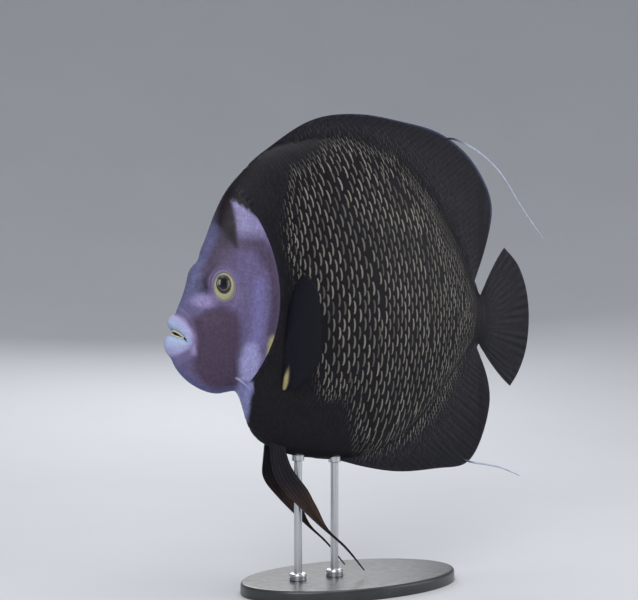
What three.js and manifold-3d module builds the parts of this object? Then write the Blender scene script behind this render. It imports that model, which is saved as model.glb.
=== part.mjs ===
// French angelfish (Pomacanthus paru), an adult at life size on a plain display stand.
// Millimetres, +Z up. The origin is the middle of the base's underside, on the floor.
// The head points to -X, the tail to +X, and the fish's left flank faces -Y.
import * as THREE from 'three';
import { mergeVertices } from 'three/addons/utils/BufferGeometryUtils.js';
import Module from 'manifold-3d';

const wasm = await Module();
wasm.setup();

// ---------------------------------------------------------------- driving dimensions

const GAP = 0.3; // clearance between neighbouring pieces
const FISH_HEIGHT = 219; // floor to the fish's own reference level, x and z of the tables below
const FIN_BASE_HALF = 1.3; // half thickness of the upright fins where they leave the body
const FIN_RIM_HALF = 0.35; // and at their free edge
const SKIN_EDGE_HALF = 0.3; // half width of the body's edge where it carries no fin

const TAIL_SWING = 9; // the tail is carried this far towards the fish's right
const SWING_START = 10; // x where the swing begins
const SWING_END = 183; // x of the tail fin's rear edge

const EYE = { x: -118.2, z: 10, radius: 10.4, depth: 5.2, sunk: 2 };
const GILL_COVER_THICKNESS = 3.2;
const CHEEK_SPINE = { root: [-108, 11.5, -57.5], tip: [-93.5, 13.5, -66], radius: 2 };

// The pectoral fin: rays as [length, degrees from straight down], from the leading ray to the last.
const PECTORAL = {
  rootTop: [-70.5, -25, -48], rootLength: 18, standOut: THREE.MathUtils.degToRad(58), cup: 4,
  rays: [[43, 174], [74, 163], [71, 156], [51, 143.5], [39, 129], [29, 111], [23, 85]],
};
const PELVIC = {
  front: [[-76.5, -103], [-71, -132], [-57.5, -148], [-34, -169.7], [-14, -186.5], [3.6, -205.8]],
  rear: [[-48, -108], [-42, -134], [-37, -152], [-28, -171], [-12, -186], [4.6, -205.4]],
  rootY: 7, spread: 7, twist: 2,
};
const FIN_THICKNESS = 0.8; // pectoral and pelvic fins, at the root
const FIN_TIP_THICKNESS = 0.56;

const BASE = { length: 180, width: 112, thickness: 9, edge: 1.5 };
const ROD = { radius: 3, collarRadius: 6.5, collarHeight: 5, x: [-46, -14], intoBelly: 6 };
const BELLY_LEVEL = [-117.2, -120.2]; // z of the belly's edge over each rod

// Stations along the fish, from inside the mouth to the root of the tail fin. Each is a closed section
// through three places: the upper edge, the broadest place of the flank and the lower edge, as [x, z].
// upperTaper and lowerTaper shape it from round (1) to keeled (1.7).
const STATIONS = [
  { at: 'throat', upper: [-143, -23.6], flank: [-140.4, -28.4], lower: [-143.6, -28.6], half: 3.2 },
  { at: 'lip edge', upper: [-150.4, -20], flank: [-141.9, -30.6], lower: [-152.4, -25.2], half: 8.6 },
  { at: 'lip front', upper: [-152.9, -15.4], flank: [-141.4, -31.4], lower: [-155.4, -30.4], half: 10.4 },
  { at: 'lip groove', upper: [-147.2, -9.4], flank: [-137.6, -30], lower: [-150.8, -42.2], half: 11.2 },
  { at: 'snout', upper: [-139.8, 5], flank: [-131, -25], lower: [-139.5, -56.5], half: 15.4 },
  { at: 'eye front', upper: [-134.2, 22.5], flank: [-121, -16], lower: [-126, -65], half: 19.2 },
  { at: 'eye', upper: [-123.6, 41.5], flank: [-109, -9], lower: [-114.5, -68], half: 21.6 },
  { at: 'cheek', upper: [-114.8, 64], flank: [-94, -3.5], lower: [-105.5, -66.8], half: 23.4 },
  { at: 'gill edge', upper: [-103.6, 83.2], flank: [-75.4, 0], lower: [-97.6, -67], half: 25.4 },
  { at: 'nape', upper: [-76, 109.5], flank: [-55, 3], lower: [-85.5, -99], half: 26.6, upperTaper: 1.2 },
  { at: 'shoulder', upper: [-45, 120], flank: [-33, 4], lower: [-58, -115], half: 26.8, upperTaper: 1.4 },
  { at: 'mid body', upper: [-14, 124], flank: [-8, 3], lower: [-14, -121], half: 25.8, upperTaper: 1.5 },
  { at: 'vent', upper: [17, 120], flank: [18, 1], lower: [18, -118], half: 23.8, upperTaper: 1.5 },
  { at: 'hind body', upper: [46, 106], flank: [45, -2], lower: [47, -106], half: 20.2, upperTaper: 1.5 },
  { at: 'loin', upper: [71, 84], flank: [70, -6], lower: [72, -86], half: 15.8, upperTaper: 1.5 },
  { at: 'hind loin', upper: [92.3, 58], flank: [91, -9.5], lower: [92.3, -64], half: 11.4, upperTaper: 1.4 },
  { at: 'stem', upper: [108, 34], flank: [108, -12.5], lower: [108, -47], half: 7.8, upperTaper: 1.3 },
  { at: 'stem end', upper: [119.5, 13], flank: [120.5, -15], lower: [120, -34.5], half: 5.4, upperTaper: 1.2 },
  { at: 'tail root', upper: [128, 3.5], flank: [130, -15.5], lower: [126.5, -36], half: 3.4, upperTaper: 1.1 },
];
const station = (name) => STATIONS.findIndex((s) => s.at === name);
const GROOVE = station('lip groove');
const GILL = station('gill edge');
const DORSAL_START = station('nape');
const ANAL_START = station('mid body');
const STEM = station('stem');
const STEM_END = station('stem end');
const TAIL_ROOT = station('tail root');
const CUT = 0.008; // half of the gap between two lengths of the body, in stations
const ROWS_PER_STATION = 3; // rows of facets between two stations, the same on body and fins so that they fit
const PAST_GILL_EDGE = 8; // how many times the clearance the cut for the cover runs past its edge
const PRISM_REACH = 60; // further out than the broadest place of the head

// Free edges of the upright fins, one place per station from the fin's start, and of the tail fin from its
// upper corner round to its lower corner.
const DORSAL_EDGE = [[-75, 111], [-34, 136.5], [7, 143.5], [47.5, 140.3], [86.5, 133.5], [119.6, 113.5],
  [141, 79.5], [134.8, 46], [122, 15.5]];
const ANAL_EDGE = [[-13, -122.5], [40.2, -134.3], [83.2, -134.4], [117, -131], [138.2, -88], [136.2, -64],
  [124, -38]];
const TAIL_EDGE = [[154.4, 43.6], [170, 30], [180, 9], [183, -16], [179.3, -42], [170, -61], [161, -71.5]];
const TAIL_BOW = 3; // how far the tail fin's upper and lower borders bow outwards

const DORSAL_STREAMER = [[99, 131.5], [127.4, 120.3], [151.2, 104.3], [167.8, 85.2], [182.5, 69.1], [205.5, 47.1]];
const ANAL_STREAMER = [[116.5, -131.6], [132.8, -134.5], [149, -138], [162.3, -142.8], [174.7, -147.7]];
const STREAMER_RADIUS = { root: 0.95, tip: 0.3 };

// ---------------------------------------------------------------- small helpers

const { lerp, smoothstep, degToRad } = THREE.MathUtils;

// A smooth curve through hand-placed stops; the third number of each stop is a free companion value.
function rail(stops) {
  const points = stops.map(([a, b, c = 0]) => new THREE.Vector3(a, b, c));
  return new THREE.CatmullRomCurve3(points, false, 'centripetal');
}

// How far the swimming curve carries the body sideways at x.
function swing(x) {
  const t = Math.max(0, (x - SWING_START) / (SWING_END - SWING_START));
  return TAIL_SWING * t * t;
}

function solidFrom(geometry) {
  const bare = geometry.clone();
  bare.deleteAttribute('normal');
  bare.deleteAttribute('uv');
  const merged = mergeVertices(bare, 1e-4);
  return new wasm.Manifold(new wasm.Mesh({
    numProp: 3,
    vertProperties: new Float32Array(merged.attributes.position.array),
    triVerts: new Uint32Array(merged.index.array),
  }));
}

function geometryFrom(solid) {
  const { vertProperties, triVerts } = solid.getMesh();
  const geometry = new THREE.BufferGeometry();
  geometry.setAttribute('position', new THREE.BufferAttribute(vertProperties, 3));
  geometry.setIndex(new THREE.BufferAttribute(triVerts, 1));
  geometry.computeVertexNormals();
  return geometry;
}

// A closed piece made of two facing sheets joined round the rim. place(i/rows, j/columns) gives one point of
// the middle surface and the way and distance to each sheet.
function twoSheets(rows, columns, place) {
  const positions = [];
  const at = (side, i, j) => (side * (rows + 1) + i) * (columns + 1) + j;
  for (const side of [1, -1]) {
    for (let i = 0; i <= rows; i++) {
      for (let j = 0; j <= columns; j++) {
        const { middle, across } = place(i / rows, j / columns);
        positions.push(...middle.clone().addScaledVector(across, side).toArray());
      }
    }
  }
  const index = [];
  const quad = (a, b, c, d) => index.push(a, b, c, a, c, d);
  for (let i = 0; i < rows; i++) {
    for (let j = 0; j < columns; j++) {
      quad(at(0, i, j), at(0, i + 1, j), at(0, i + 1, j + 1), at(0, i, j + 1));
      quad(at(1, i, j), at(1, i, j + 1), at(1, i + 1, j + 1), at(1, i + 1, j));
    }
    quad(at(0, i, 0), at(1, i, 0), at(1, i + 1, 0), at(0, i + 1, 0));
    quad(at(0, i, columns), at(0, i + 1, columns), at(1, i + 1, columns), at(1, i, columns));
  }
  for (let j = 0; j < columns; j++) {
    quad(at(0, 0, j), at(0, 0, j + 1), at(1, 0, j + 1), at(1, 0, j));
    quad(at(0, rows, j), at(1, rows, j), at(1, rows, j + 1), at(0, rows, j + 1));
  }
  const geometry = new THREE.BufferGeometry();
  geometry.setAttribute('position', new THREE.Float32BufferAttribute(positions, 3));
  geometry.setIndex(index);
  return facingOut(geometry);
}

function facingOut(geometry) {
  const p = geometry.attributes.position;
  const index = geometry.index.array;
  const [a, b, c] = [new THREE.Vector3(), new THREE.Vector3(), new THREE.Vector3()];
  let volume = 0;
  for (let i = 0; i < index.length; i += 3) {
    a.fromBufferAttribute(p, index[i]);
    b.fromBufferAttribute(p, index[i + 1]);
    c.fromBufferAttribute(p, index[i + 2]);
    volume += a.dot(b.cross(c));
  }
  if (volume < 0) {
    for (let i = 0; i < index.length; i += 3) {
      [index[i + 1], index[i + 2]] = [index[i + 2], index[i + 1]];
    }
  }
  geometry.computeVertexNormals();
  return geometry;
}

// A round cord along a curve, thinning from its root to its tip.
function streamer(stops, rootRadius, tipRadius, steps = 14, sides = 6) {
  const path = rail(stops.map(([x, z]) => [x, swing(x), z]));
  const frames = path.computeFrenetFrames(steps, false);
  const positions = [];
  const index = [];
  for (let i = 0; i <= steps; i++) {
    const centre = path.getPointAt(i / steps);
    const radius = lerp(rootRadius, tipRadius, i / steps);
    for (let j = 0; j < sides; j++) {
      const turn = (2 * Math.PI * j) / sides;
      const point = centre.clone()
        .addScaledVector(frames.normals[i], radius * Math.cos(turn))
        .addScaledVector(frames.binormals[i], radius * Math.sin(turn));
      positions.push(...point.toArray());
      const next = (j + 1) % sides;
      if (i < steps) {
        const ring = i * sides;
        index.push(ring + j, ring + sides + j, ring + sides + next, ring + j, ring + sides + next, ring + next);
      }
    }
  }
  const last = steps * sides;
  for (let j = 1; j < sides - 1; j++) {
    index.push(0, j, j + 1, last, last + j + 1, last + j);
  }
  const geometry = new THREE.BufferGeometry();
  geometry.setAttribute('position', new THREE.Float32BufferAttribute(positions, 3));
  geometry.setIndex(index);
  return facingOut(geometry);
}

// ---------------------------------------------------------------- the body's surface

const upperRail = rail(STATIONS.map((s) => [...s.upper, s.upperTaper ?? 1]));
const lowerRail = rail(STATIONS.map((s) => [...s.lower, s.lowerTaper ?? 1.1]));
const flankRail = rail(STATIONS.map((s) => [...s.flank, s.half]));
const dorsalEdge = rail(DORSAL_EDGE);
const analEdge = rail(ANAL_EDGE);
const tailEdge = rail(TAIL_EDGE);
const alongBody = (curve, k) => curve.getPoint(k / (STATIONS.length - 1));

// Half width of the body's edge at station k, wider where a fin stands on it.
function edgeHalf(k, finStart) {
  return lerp(SKIN_EDGE_HALF, FIN_BASE_HALF, smoothstep(k, finStart, finStart + 1));
}

// Place on the flank at station k. turn runs from 1 at the upper edge through 0 at the broadest place to -1 at
// the lower edge: the section is half an ellipse whose width is drawn in towards the edge by the taper.
function flank(k, turn, extra = 0) {
  const side = alongBody(flankRail, k);
  const edge = alongBody(turn > 0 ? upperRail : lowerRail, k);
  const rise = Math.abs(Math.sin(turn * Math.PI / 2));
  const width = Math.cos(turn * Math.PI / 2);
  const x = side.x + (edge.x - side.x) * rise * rise;
  const z = side.y + (edge.y - side.y) * rise;
  const half = Math.hypot(side.z * Math.max(width, 0) ** edge.z, edgeHalf(k, turn > 0 ? DORSAL_START : ANAL_START));
  return { middle: new THREE.Vector3(x, swing(x), z), across: new THREE.Vector3(0, -Math.max(half + extra, 0.05), 0) };
}

// One length of the body between two stations, drawn back from both by half the clearance.
function bodyLength(from, to, columns, extra = 0) {
  const rows = Math.ceil((to - from) * ROWS_PER_STATION);
  return twoSheets(rows, columns, (u, v) => {
    const k = THREE.MathUtils.clamp(lerp(from, to, u), from + CUT, to - CUT);
    return flank(k, 1 - 2 * v, extra);
  });
}

// An upright fin standing on the body's edge between two stations: straight rays from the edge to the rim.
function uprightFin(edgeTurn, curve, firstStation) {
  const lastStation = STEM_END;
  const from = firstStation + 1 / ROWS_PER_STATION;
  const rows = Math.round((lastStation - from) * ROWS_PER_STATION);
  return twoSheets(rows, 3, (u, v) => {
    const k = lerp(from, lastStation, u);
    const root = flank(k, edgeTurn).middle;
    const rim = curve.getPoint((k - firstStation) / (lastStation - firstStation));
    const start = GAP / Math.hypot(rim.x - root.x, rim.y - root.z);
    const along = lerp(start, 1, v);
    const x = lerp(root.x, rim.x, along);
    const z = lerp(root.z, rim.y, along);
    const half = lerp(edgeHalf(k, firstStation), FIN_RIM_HALF, along);
    return { middle: new THREE.Vector3(x, swing(x), z), across: new THREE.Vector3(0, -half, 0) };
  });
}

function tailFin(rows, columns) {
  return twoSheets(rows, columns, (u, v) => {
    const root = flank(TAIL_ROOT, 1 - 2 * v);
    const rim = tailEdge.getPoint(v);
    const along = lerp(0.012, 1, u);
    const bow = 4 * TAIL_BOW * along * (1 - along) * (1 - 2 * v);
    const x = lerp(root.middle.x, rim.x, along);
    const z = lerp(root.middle.z, rim.y, along) + bow;
    const half = lerp(Math.abs(root.across.y), FIN_RIM_HALF, Math.sqrt(along));
    return { middle: new THREE.Vector3(x, swing(x), z), across: new THREE.Vector3(0, -half, 0) };
  });
}

// ---------------------------------------------------------------- cutting tools for the head

// A closed outline in side view, pushed across the head between two levels of y.
function sidePrism(points, fromY = -PRISM_REACH, toY = PRISM_REACH) {
  const shape = new THREE.Shape(points.map(([x, z]) => new THREE.Vector2(x, z)));
  const geometry = new THREE.ExtrudeGeometry(shape, { depth: toY - fromY, bevelEnabled: false });
  geometry.rotateX(Math.PI / 2);
  geometry.translate(0, toY, 0);
  return solidFrom(geometry);
}

// The same through one side of the head only: side is -1 for the left.
function oneSidePrism(points, side) {
  return sidePrism(points, Math.min(0, side * PRISM_REACH), Math.max(0, side * PRISM_REACH));
}

// The gill cover's outline: its free rear edge is the gill edge itself, its front a smooth arc behind the
// cheek. grow widens the outline all round.
function gillCoverOutline(grow) {
  const rearSteps = 10;
  const rear = [];
  for (let i = 0; i <= rearSteps; i++) {
    const { middle } = flank(GILL - CUT, lerp(0.7, -0.64, i / rearSteps));
    const past = i % rearSteps ? PAST_GILL_EDGE * grow : 0;
    rear.push([middle.x + past, middle.z]);
  }
  rear[0][1] += 2 * grow;
  rear[rearSteps][1] -= 2 * grow;
  const frontArc = new THREE.SplineCurve([
    new THREE.Vector2(-100 - grow, -50 - grow),
    new THREE.Vector2(-106.5 - grow, -30),
    new THREE.Vector2(-108 - grow, 0),
    new THREE.Vector2(-105 - grow, 34),
    new THREE.Vector2(-100.5 - grow, rear[0][1] - 3),
  ]).getPoints(7);
  return [...rear, ...frontArc.map((p) => [p.x, p.y])];
}

// The long spine at the lower corner of the cheek, pointing back under the gill cover.
function cheekSpine(side) {
  const { root: from, tip: to, radius } = CHEEK_SPINE;
  const start = new THREE.Vector3(from[0], side * from[1], from[2]);
  const end = new THREE.Vector3(to[0], side * to[1], to[2]);
  const geometry = new THREE.ConeGeometry(radius, start.distanceTo(end), 8);
  const along = end.clone().sub(start).normalize();
  geometry.applyQuaternion(new THREE.Quaternion().setFromUnitVectors(new THREE.Vector3(0, 1, 0), along));
  const middle = start.add(end).multiplyScalar(0.5);
  geometry.translate(middle.x, middle.y, middle.z);
  return solidFrom(geometry);
}

// The lower jaw: the part of the head below the mouth corner.
function jawOutline(grow) {
  const hinge = [-133.5 + grow, -31 + grow];
  return [[-165, -31 + grow], hinge, [-121 + grow, -56 + grow], [-114 + grow, -75], [-165, -75]];
}

// ---------------------------------------------------------------- paired fins

// A fan of rays from a short root line. The fan's plane holds the root line and stands out from the flank.
function pectoralFin(side) {
  const { rootTop, rootLength, standOut, cup, rays } = PECTORAL;
  const down = new THREE.Vector3(0.13, 0.03, -0.99).normalize();
  const out = new THREE.Vector3(Math.cos(standOut), -Math.sin(standOut), 0);
  const normal = new THREE.Vector3().crossVectors(down, out).normalize();
  const rayFan = rail(rays);
  return twoSheets(6, 12, (u, v) => {
    const { x: fullLength, y: degreesFromDown } = rayFan.getPoint(v);
    const angle = degToRad(degreesFromDown);
    const length = fullLength * u;
    const middle = new THREE.Vector3(...rootTop)
      .addScaledVector(down, rootLength * v + length * Math.cos(angle))
      .addScaledVector(out, length * Math.sin(angle))
      .addScaledVector(normal, -cup * u * u);
    const across = normal.clone().multiplyScalar(lerp(FIN_THICKNESS, FIN_TIP_THICKNESS, u) / 2);
    if (side > 0) {
      middle.y *= -1;
      across.y *= -1;
    }
    return { middle, across };
  });
}

// A long blade between its front border, the fin spine, and its rear border; both run out in one filament.
function pelvicFin(side) {
  const front = rail(PELVIC.front);
  const rear = rail(PELVIC.rear);
  return twoSheets(12, 4, (u, v) => {
    const from = front.getPoint(u);
    const to = rear.getPoint(u);
    const x = lerp(from.x, to.x, v);
    const z = lerp(from.y, to.y, v);
    const splay = PELVIC.rootY + PELVIC.spread * Math.sin(u * Math.PI / 2) + PELVIC.twist * v * (1 - u);
    const thickness = lerp(FIN_THICKNESS, FIN_TIP_THICKNESS, u);
    return {
      middle: new THREE.Vector3(x, side * splay, z),
      across: new THREE.Vector3(0, side * thickness / 2, 0),
    };
  });
}

// ---------------------------------------------------------------- eyes and stand

// A flattened ball whose axis stands square to the head. grow makes the socket that it sits in.
function eyeBall(side, grow) {
  const geometry = new THREE.SphereGeometry(1, 16, 8);
  geometry.scale(EYE.radius + grow, EYE.radius + grow, EYE.depth + grow);
  const outwards = new THREE.Vector3(-0.06, side, 0.06).normalize();
  geometry.applyQuaternion(new THREE.Quaternion().setFromUnitVectors(new THREE.Vector3(0, 0, 1), outwards));
  const surface = new THREE.Vector3(EYE.x, side * EYE_HALF_WIDTH, EYE.z);
  const centre = surface.addScaledVector(outwards, -EYE.sunk);
  geometry.translate(centre.x, centre.y, centre.z);
  return solidFrom(geometry);
}

// Half width of the head at the eye, found by walking over the cheek to the eye's place.
function headHalfWidthAt(x, z) {
  let best = { miss: Infinity, half: 0 };
  for (let k = GROOVE; k < GILL; k += 0.05) {
    for (let turn = 0.9; turn > -0.9; turn -= 0.02) {
      const { middle, across } = flank(k, turn);
      const miss = Math.hypot(middle.x - x, middle.z - z);
      if (miss < best.miss) {
        best = { miss, half: -across.y };
      }
    }
  }
  return best.half;
}
const EYE_HALF_WIDTH = headHalfWidthAt(EYE.x, EYE.z);

function standBase() {
  const outline = new THREE.Shape();
  const { length, width, thickness, edge } = BASE;
  outline.absellipse(0, 0, length / 2 - edge, width / 2 - edge, 0, 2 * Math.PI, false, 0);
  const geometry = new THREE.ExtrudeGeometry(outline, {
    depth: thickness - 2 * edge, bevelThickness: edge, bevelSize: edge, bevelSegments: 1, curveSegments: 18,
  });
  geometry.translate(0, 0, edge);
  return geometry;
}

// A rod with a low round collar at its foot, from the base up into the belly.
function standRod(top, grow) {
  const { radius, collarRadius, collarHeight } = ROD;
  const foot = BASE.thickness + GAP;
  const profile = [
    [0, foot], [collarRadius, foot], [collarRadius, foot + collarHeight - 1],
    [collarRadius - 1, foot + collarHeight], [radius + grow, foot + collarHeight], [radius + grow, top + grow],
    [0, top + grow],
  ].map(([r, z]) => new THREE.Vector2(r, z));
  const geometry = new THREE.LatheGeometry(profile, 12);
  geometry.rotateX(Math.PI / 2);
  return geometry;
}

// ---------------------------------------------------------------- materials

const finish = (color, roughness, metalness = 0) => new THREE.MeshStandardMaterial({ color, roughness, metalness });
const MATERIALS = {
  face: finish(0x8f95ad, 0.5),
  lips: finish(0xc9d6e0, 0.5),
  body: finish(0x24242b, 0.5),
  fin: finish(0x1d2129, 0.55),
  pelvic: finish(0x2b211d, 0.55),
  streamer: finish(0xa9b6c4, 0.5),
  eye: finish(0x14161c, 0.12),
  stand: finish(0x2a2a2c, 0.45),
  rod: finish(0xb9bcc0, 0.28, 1),
};

// ---------------------------------------------------------------- assembly

const fish = new THREE.Group();
fish.position.z = FISH_HEIGHT;
const stand = new THREE.Group();

function add(group, name, geometry, material) {
  const mesh = new THREE.Mesh(geometry, material);
  mesh.name = name;
  group.add(mesh);
  return mesh;
}

// Head: whole first, then the gill covers, jaw and eye sockets are parted from it.
let head = solidFrom(bodyLength(GROOVE, GILL, 16));
const insideHead = solidFrom(bodyLength(GROOVE - 1, GILL + 1, 16, -GILL_COVER_THICKNESS));
const deeperInHead = solidFrom(bodyLength(GROOVE - 1, GILL + 1, 16, -GILL_COVER_THICKNESS - GAP));
const sides = { left: -1, right: 1 };
for (const side of Object.values(sides)) {
  head = head.add(cheekSpine(side));
}
for (const [name, side] of Object.entries(sides)) {
  const cover = oneSidePrism(gillCoverOutline(0), side).intersect(head).subtract(insideHead);
  add(fish, `gill_cover_${name}`, geometryFrom(cover), MATERIALS.face);
  head = head.subtract(oneSidePrism(gillCoverOutline(GAP), side).subtract(deeperInHead));
}
for (const [name, side] of Object.entries(sides)) {
  add(fish, `eye_${name}`, geometryFrom(eyeBall(side, 0)), MATERIALS.eye);
  head = head.subtract(eyeBall(side, GAP));
}
const jawCut = (grow) => sidePrism(jawOutline(grow));
add(fish, 'lower_jaw', geometryFrom(head.intersect(jawCut(0))), MATERIALS.face);
add(fish, 'head', geometryFrom(head.subtract(jawCut(GAP))), MATERIALS.face);

// Lips: one thick ring round the open mouth, parted at the corners.
const lips = solidFrom(bodyLength(0, GROOVE, 12));
const belowCorner = (level) => sidePrism([[-165, level], [-130, level], [-130, -60], [-165, -60]]);
const CORNER_LEVEL = -30.8;
add(fish, 'upper_lip', geometryFrom(lips.subtract(belowCorner(CORNER_LEVEL))), MATERIALS.lips);
add(fish, 'lower_lip', geometryFrom(lips.intersect(belowCorner(CORNER_LEVEL - GAP))), MATERIALS.lips);

// Trunk, with a socket for each rod, and the tail stem.
let trunk = solidFrom(bodyLength(GILL, STEM, 16));
ROD.x.forEach((x, i) => {
  const top = FISH_HEIGHT + BELLY_LEVEL[i] + ROD.intoBelly;
  const name = ['stand_rod_front', 'stand_rod_rear'][i];
  const rod = add(stand, name, standRod(top, 0), MATERIALS.rod);
  rod.position.x = x;
  trunk = trunk.subtract(solidFrom(standRod(top, GAP)).translate(x, 0, -FISH_HEIGHT));
});
add(fish, 'trunk', geometryFrom(trunk), MATERIALS.body);
add(fish, 'tail_stem', bodyLength(STEM, TAIL_ROOT, 12), MATERIALS.body);

// Fins and streamers.
const dorsal = uprightFin(1, dorsalEdge, DORSAL_START);
const anal = uprightFin(-1, analEdge, ANAL_START);
add(fish, 'dorsal_fin', dorsal, MATERIALS.fin);
add(fish, 'anal_fin', anal, MATERIALS.fin);
add(fish, 'tail_fin', tailFin(5, 16), MATERIALS.fin);
const { root, tip } = STREAMER_RADIUS;
const streamers = { dorsal_streamer: [DORSAL_STREAMER, dorsal], anal_streamer: [ANAL_STREAMER, anal] };
for (const [name, [stops, fin]] of Object.entries(streamers)) {
  const free = solidFrom(streamer(stops, root, tip)).subtract(solidFrom(fin));
  add(fish, name, geometryFrom(free), MATERIALS.streamer);
}
const flesh = solidFrom(bodyLength(GILL - 1, ANAL_START + 2, 20, GAP));
for (const [name, side] of Object.entries(sides)) {
  const pectoral = solidFrom(pectoralFin(side)).subtract(flesh);
  const pelvic = solidFrom(pelvicFin(side)).subtract(flesh);
  add(fish, `pectoral_fin_${name}`, geometryFrom(pectoral), MATERIALS.fin);
  add(fish, `pelvic_fin_${name}`, geometryFrom(pelvic), MATERIALS.pelvic);
}

add(stand, 'stand_base', standBase(), MATERIALS.stand);

const model = new THREE.Group();
model.add(fish, stand);

export default model;
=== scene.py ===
import functools
import math

import bpy
import numpy as np
from bpy.props import FloatProperty, FloatVectorProperty, IntProperty, PointerProperty
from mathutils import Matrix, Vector


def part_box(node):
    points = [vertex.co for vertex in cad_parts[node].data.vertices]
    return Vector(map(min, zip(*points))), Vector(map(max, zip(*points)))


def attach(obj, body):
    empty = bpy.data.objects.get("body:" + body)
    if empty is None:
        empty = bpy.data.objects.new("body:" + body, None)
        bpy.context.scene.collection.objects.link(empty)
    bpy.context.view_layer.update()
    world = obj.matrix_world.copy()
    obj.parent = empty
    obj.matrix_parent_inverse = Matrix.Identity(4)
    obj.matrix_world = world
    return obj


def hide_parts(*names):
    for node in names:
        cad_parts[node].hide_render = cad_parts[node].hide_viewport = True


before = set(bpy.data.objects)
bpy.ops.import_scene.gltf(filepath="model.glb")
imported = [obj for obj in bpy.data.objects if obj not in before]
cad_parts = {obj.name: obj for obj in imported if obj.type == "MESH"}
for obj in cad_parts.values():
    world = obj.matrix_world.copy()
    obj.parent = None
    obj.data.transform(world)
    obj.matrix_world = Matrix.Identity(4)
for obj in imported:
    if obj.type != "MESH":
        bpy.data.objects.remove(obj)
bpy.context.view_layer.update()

bl_info = {
    "name": "French Angelfish Display Model",
    "version": (1, 0, 0),
    "blender": (4, 5, 0),
    "location": "View3D > Sidebar > Angelfish",
    "description": "Builds the skin, scales, fins, eyes, stand and studio of a museum model of a fish",
    "category": "Object",
}

MM = 0.001
SIDES = {"left": -1, "right": 1}

# ---------------------------------------------------------------- driving dimensions

FISH_HEIGHT = 219 * MM  # floor to the fish's reference level
TAIL_SWING = 9 * MM  # the tail is carried this far towards the fish's right
SWING_START, SWING_END = 10 * MM, 183 * MM  # where along the fish the swing begins and is full
FIN_BASE_HALF = 1.2 * MM  # half thickness of the upright fins at the body
FIN_RIM_HALF = 0.3 * MM
TAIL_BOW = 3 * MM  # how far the tail's upper and lower rays bow apart

# name, upper edge (x, z), broadest place (x, z), lower edge (x, z), half width, upper taper
STATIONS = (
    ("throat", (-143, -23.6), (-140.4, -28.4), (-143.6, -28.6), 3.2, 1.0),
    ("lip edge", (-150.4, -20), (-141.9, -30.6), (-152.4, -25.2), 8.6, 1.0),
    ("lip front", (-152.9, -15.4), (-141.4, -31.4), (-155.4, -30.4), 10.4, 1.0),
    ("lip groove", (-147.2, -9.4), (-137.6, -30), (-150.8, -42.2), 11.2, 1.0),
    ("snout", (-139.8, 5), (-131, -25), (-139.5, -56.5), 15.4, 1.0),
    ("eye front", (-134.2, 22.5), (-121, -16), (-126, -65), 19.2, 1.0),
    ("eye", (-123.6, 41.5), (-109, -9), (-114.5, -68), 21.6, 1.0),
    ("cheek", (-114.8, 64), (-94, -3.5), (-105.5, -66.8), 23.4, 1.0),
    ("gill edge", (-103.6, 83.2), (-75.4, 0), (-97.6, -67), 25.4, 1.0),
    ("nape", (-76, 109.5), (-55, 3), (-85.5, -99), 26.6, 1.2),
    ("shoulder", (-45, 120), (-33, 4), (-58, -115), 26.8, 1.4),
    ("mid body", (-14, 124), (-8, 3), (-14, -121), 25.8, 1.5),
    ("vent", (17, 120), (18, 1), (18, -118), 23.8, 1.5),
    ("hind body", (46, 106), (45, -2), (47, -106), 20.2, 1.5),
    ("loin", (71, 84), (70, -6), (72, -86), 15.8, 1.5),
    ("hind loin", (92.3, 58), (91, -9.5), (92.3, -64), 11.4, 1.4),
    ("stem", (108, 34), (108, -12.5), (108, -47), 7.8, 1.3),
    ("stem end", (119.5, 13), (120.5, -15), (120, -34.5), 5.4, 1.2),
    ("tail root", (128, 3.5), (130, -15.5), (126.5, -36), 3.4, 1.1),
)
LOWER_TAPER = 1.1
NAMES = [row[0] for row in STATIONS]
GROOVE, SNOUT, GILL = NAMES.index("lip groove"), NAMES.index("snout"), NAMES.index("gill edge")
NAPE, MID_BODY = NAMES.index("nape"), NAMES.index("mid body")
STEM_END, TAIL_ROOT = NAMES.index("stem end"), NAMES.index("tail root")
TAIL_END = TAIL_ROOT + 2  # the tail fin counts as two more stations

# Free edges of the fins, one place per station from the fin's start; the tail's from its upper corner round.
DORSAL_EDGE = [(-75, 111), (-34, 136.5), (7, 143.5), (47.5, 140.3), (86.5, 133.5), (119.6, 113.5),
               (141, 79.5), (134.8, 46), (122, 15.5)]
ANAL_EDGE = [(-13, -122.5), (40.2, -134.3), (83.2, -134.4), (117, -131), (138.2, -88), (136.2, -64),
             (124, -38)]
TAIL_EDGE = [(154.4, 43.6), (170, 30), (180, 9), (183, -16), (179.3, -42), (170, -61), (161, -71.5)]

# The filaments of the two upright fins, from the fin's blade to the tip.
DORSAL_STREAMER = [(84, 127.5), (99, 129.8), (127.4, 120.3), (151.2, 104.3), (167.8, 85.2), (182.5, 69.1),
                   (205.1, 47.4)]
ANAL_STREAMER = [(103, -126), (116.5, -131.2), (132.8, -134.5), (149, -138), (162.3, -142.8), (174.7, -147.7)]

# The pectoral fin's rays as (length, degrees from straight down), from the leading ray to the last.
PECTORAL_RAYS = [(43, 174), (74, 163), (71, 156), (51, 143.5), (38, 131), (27, 118), (15, 104)]
PECTORAL_ROOT = (-70.5, -25, -48)
PECTORAL_ROOT_LENGTH, PECTORAL_CUP, PECTORAL_STAND_OUT = 18, 4, math.radians(58)
PECTORAL_RAY_COUNT, PELVIC_RAY_COUNT = 19, 6

# The pelvic fin's leading and rear edge, from the belly to the tip.
PELVIC_FRONT = [(-76.5, -103), (-71, -132), (-57.5, -148), (-34, -169.7), (-14, -186.5), (3.6, -205.8)]
PELVIC_REAR = [(-48, -108), (-42, -134), (-37, -152), (-28, -171), (-12, -186), (4.6, -205.4)]

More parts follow.
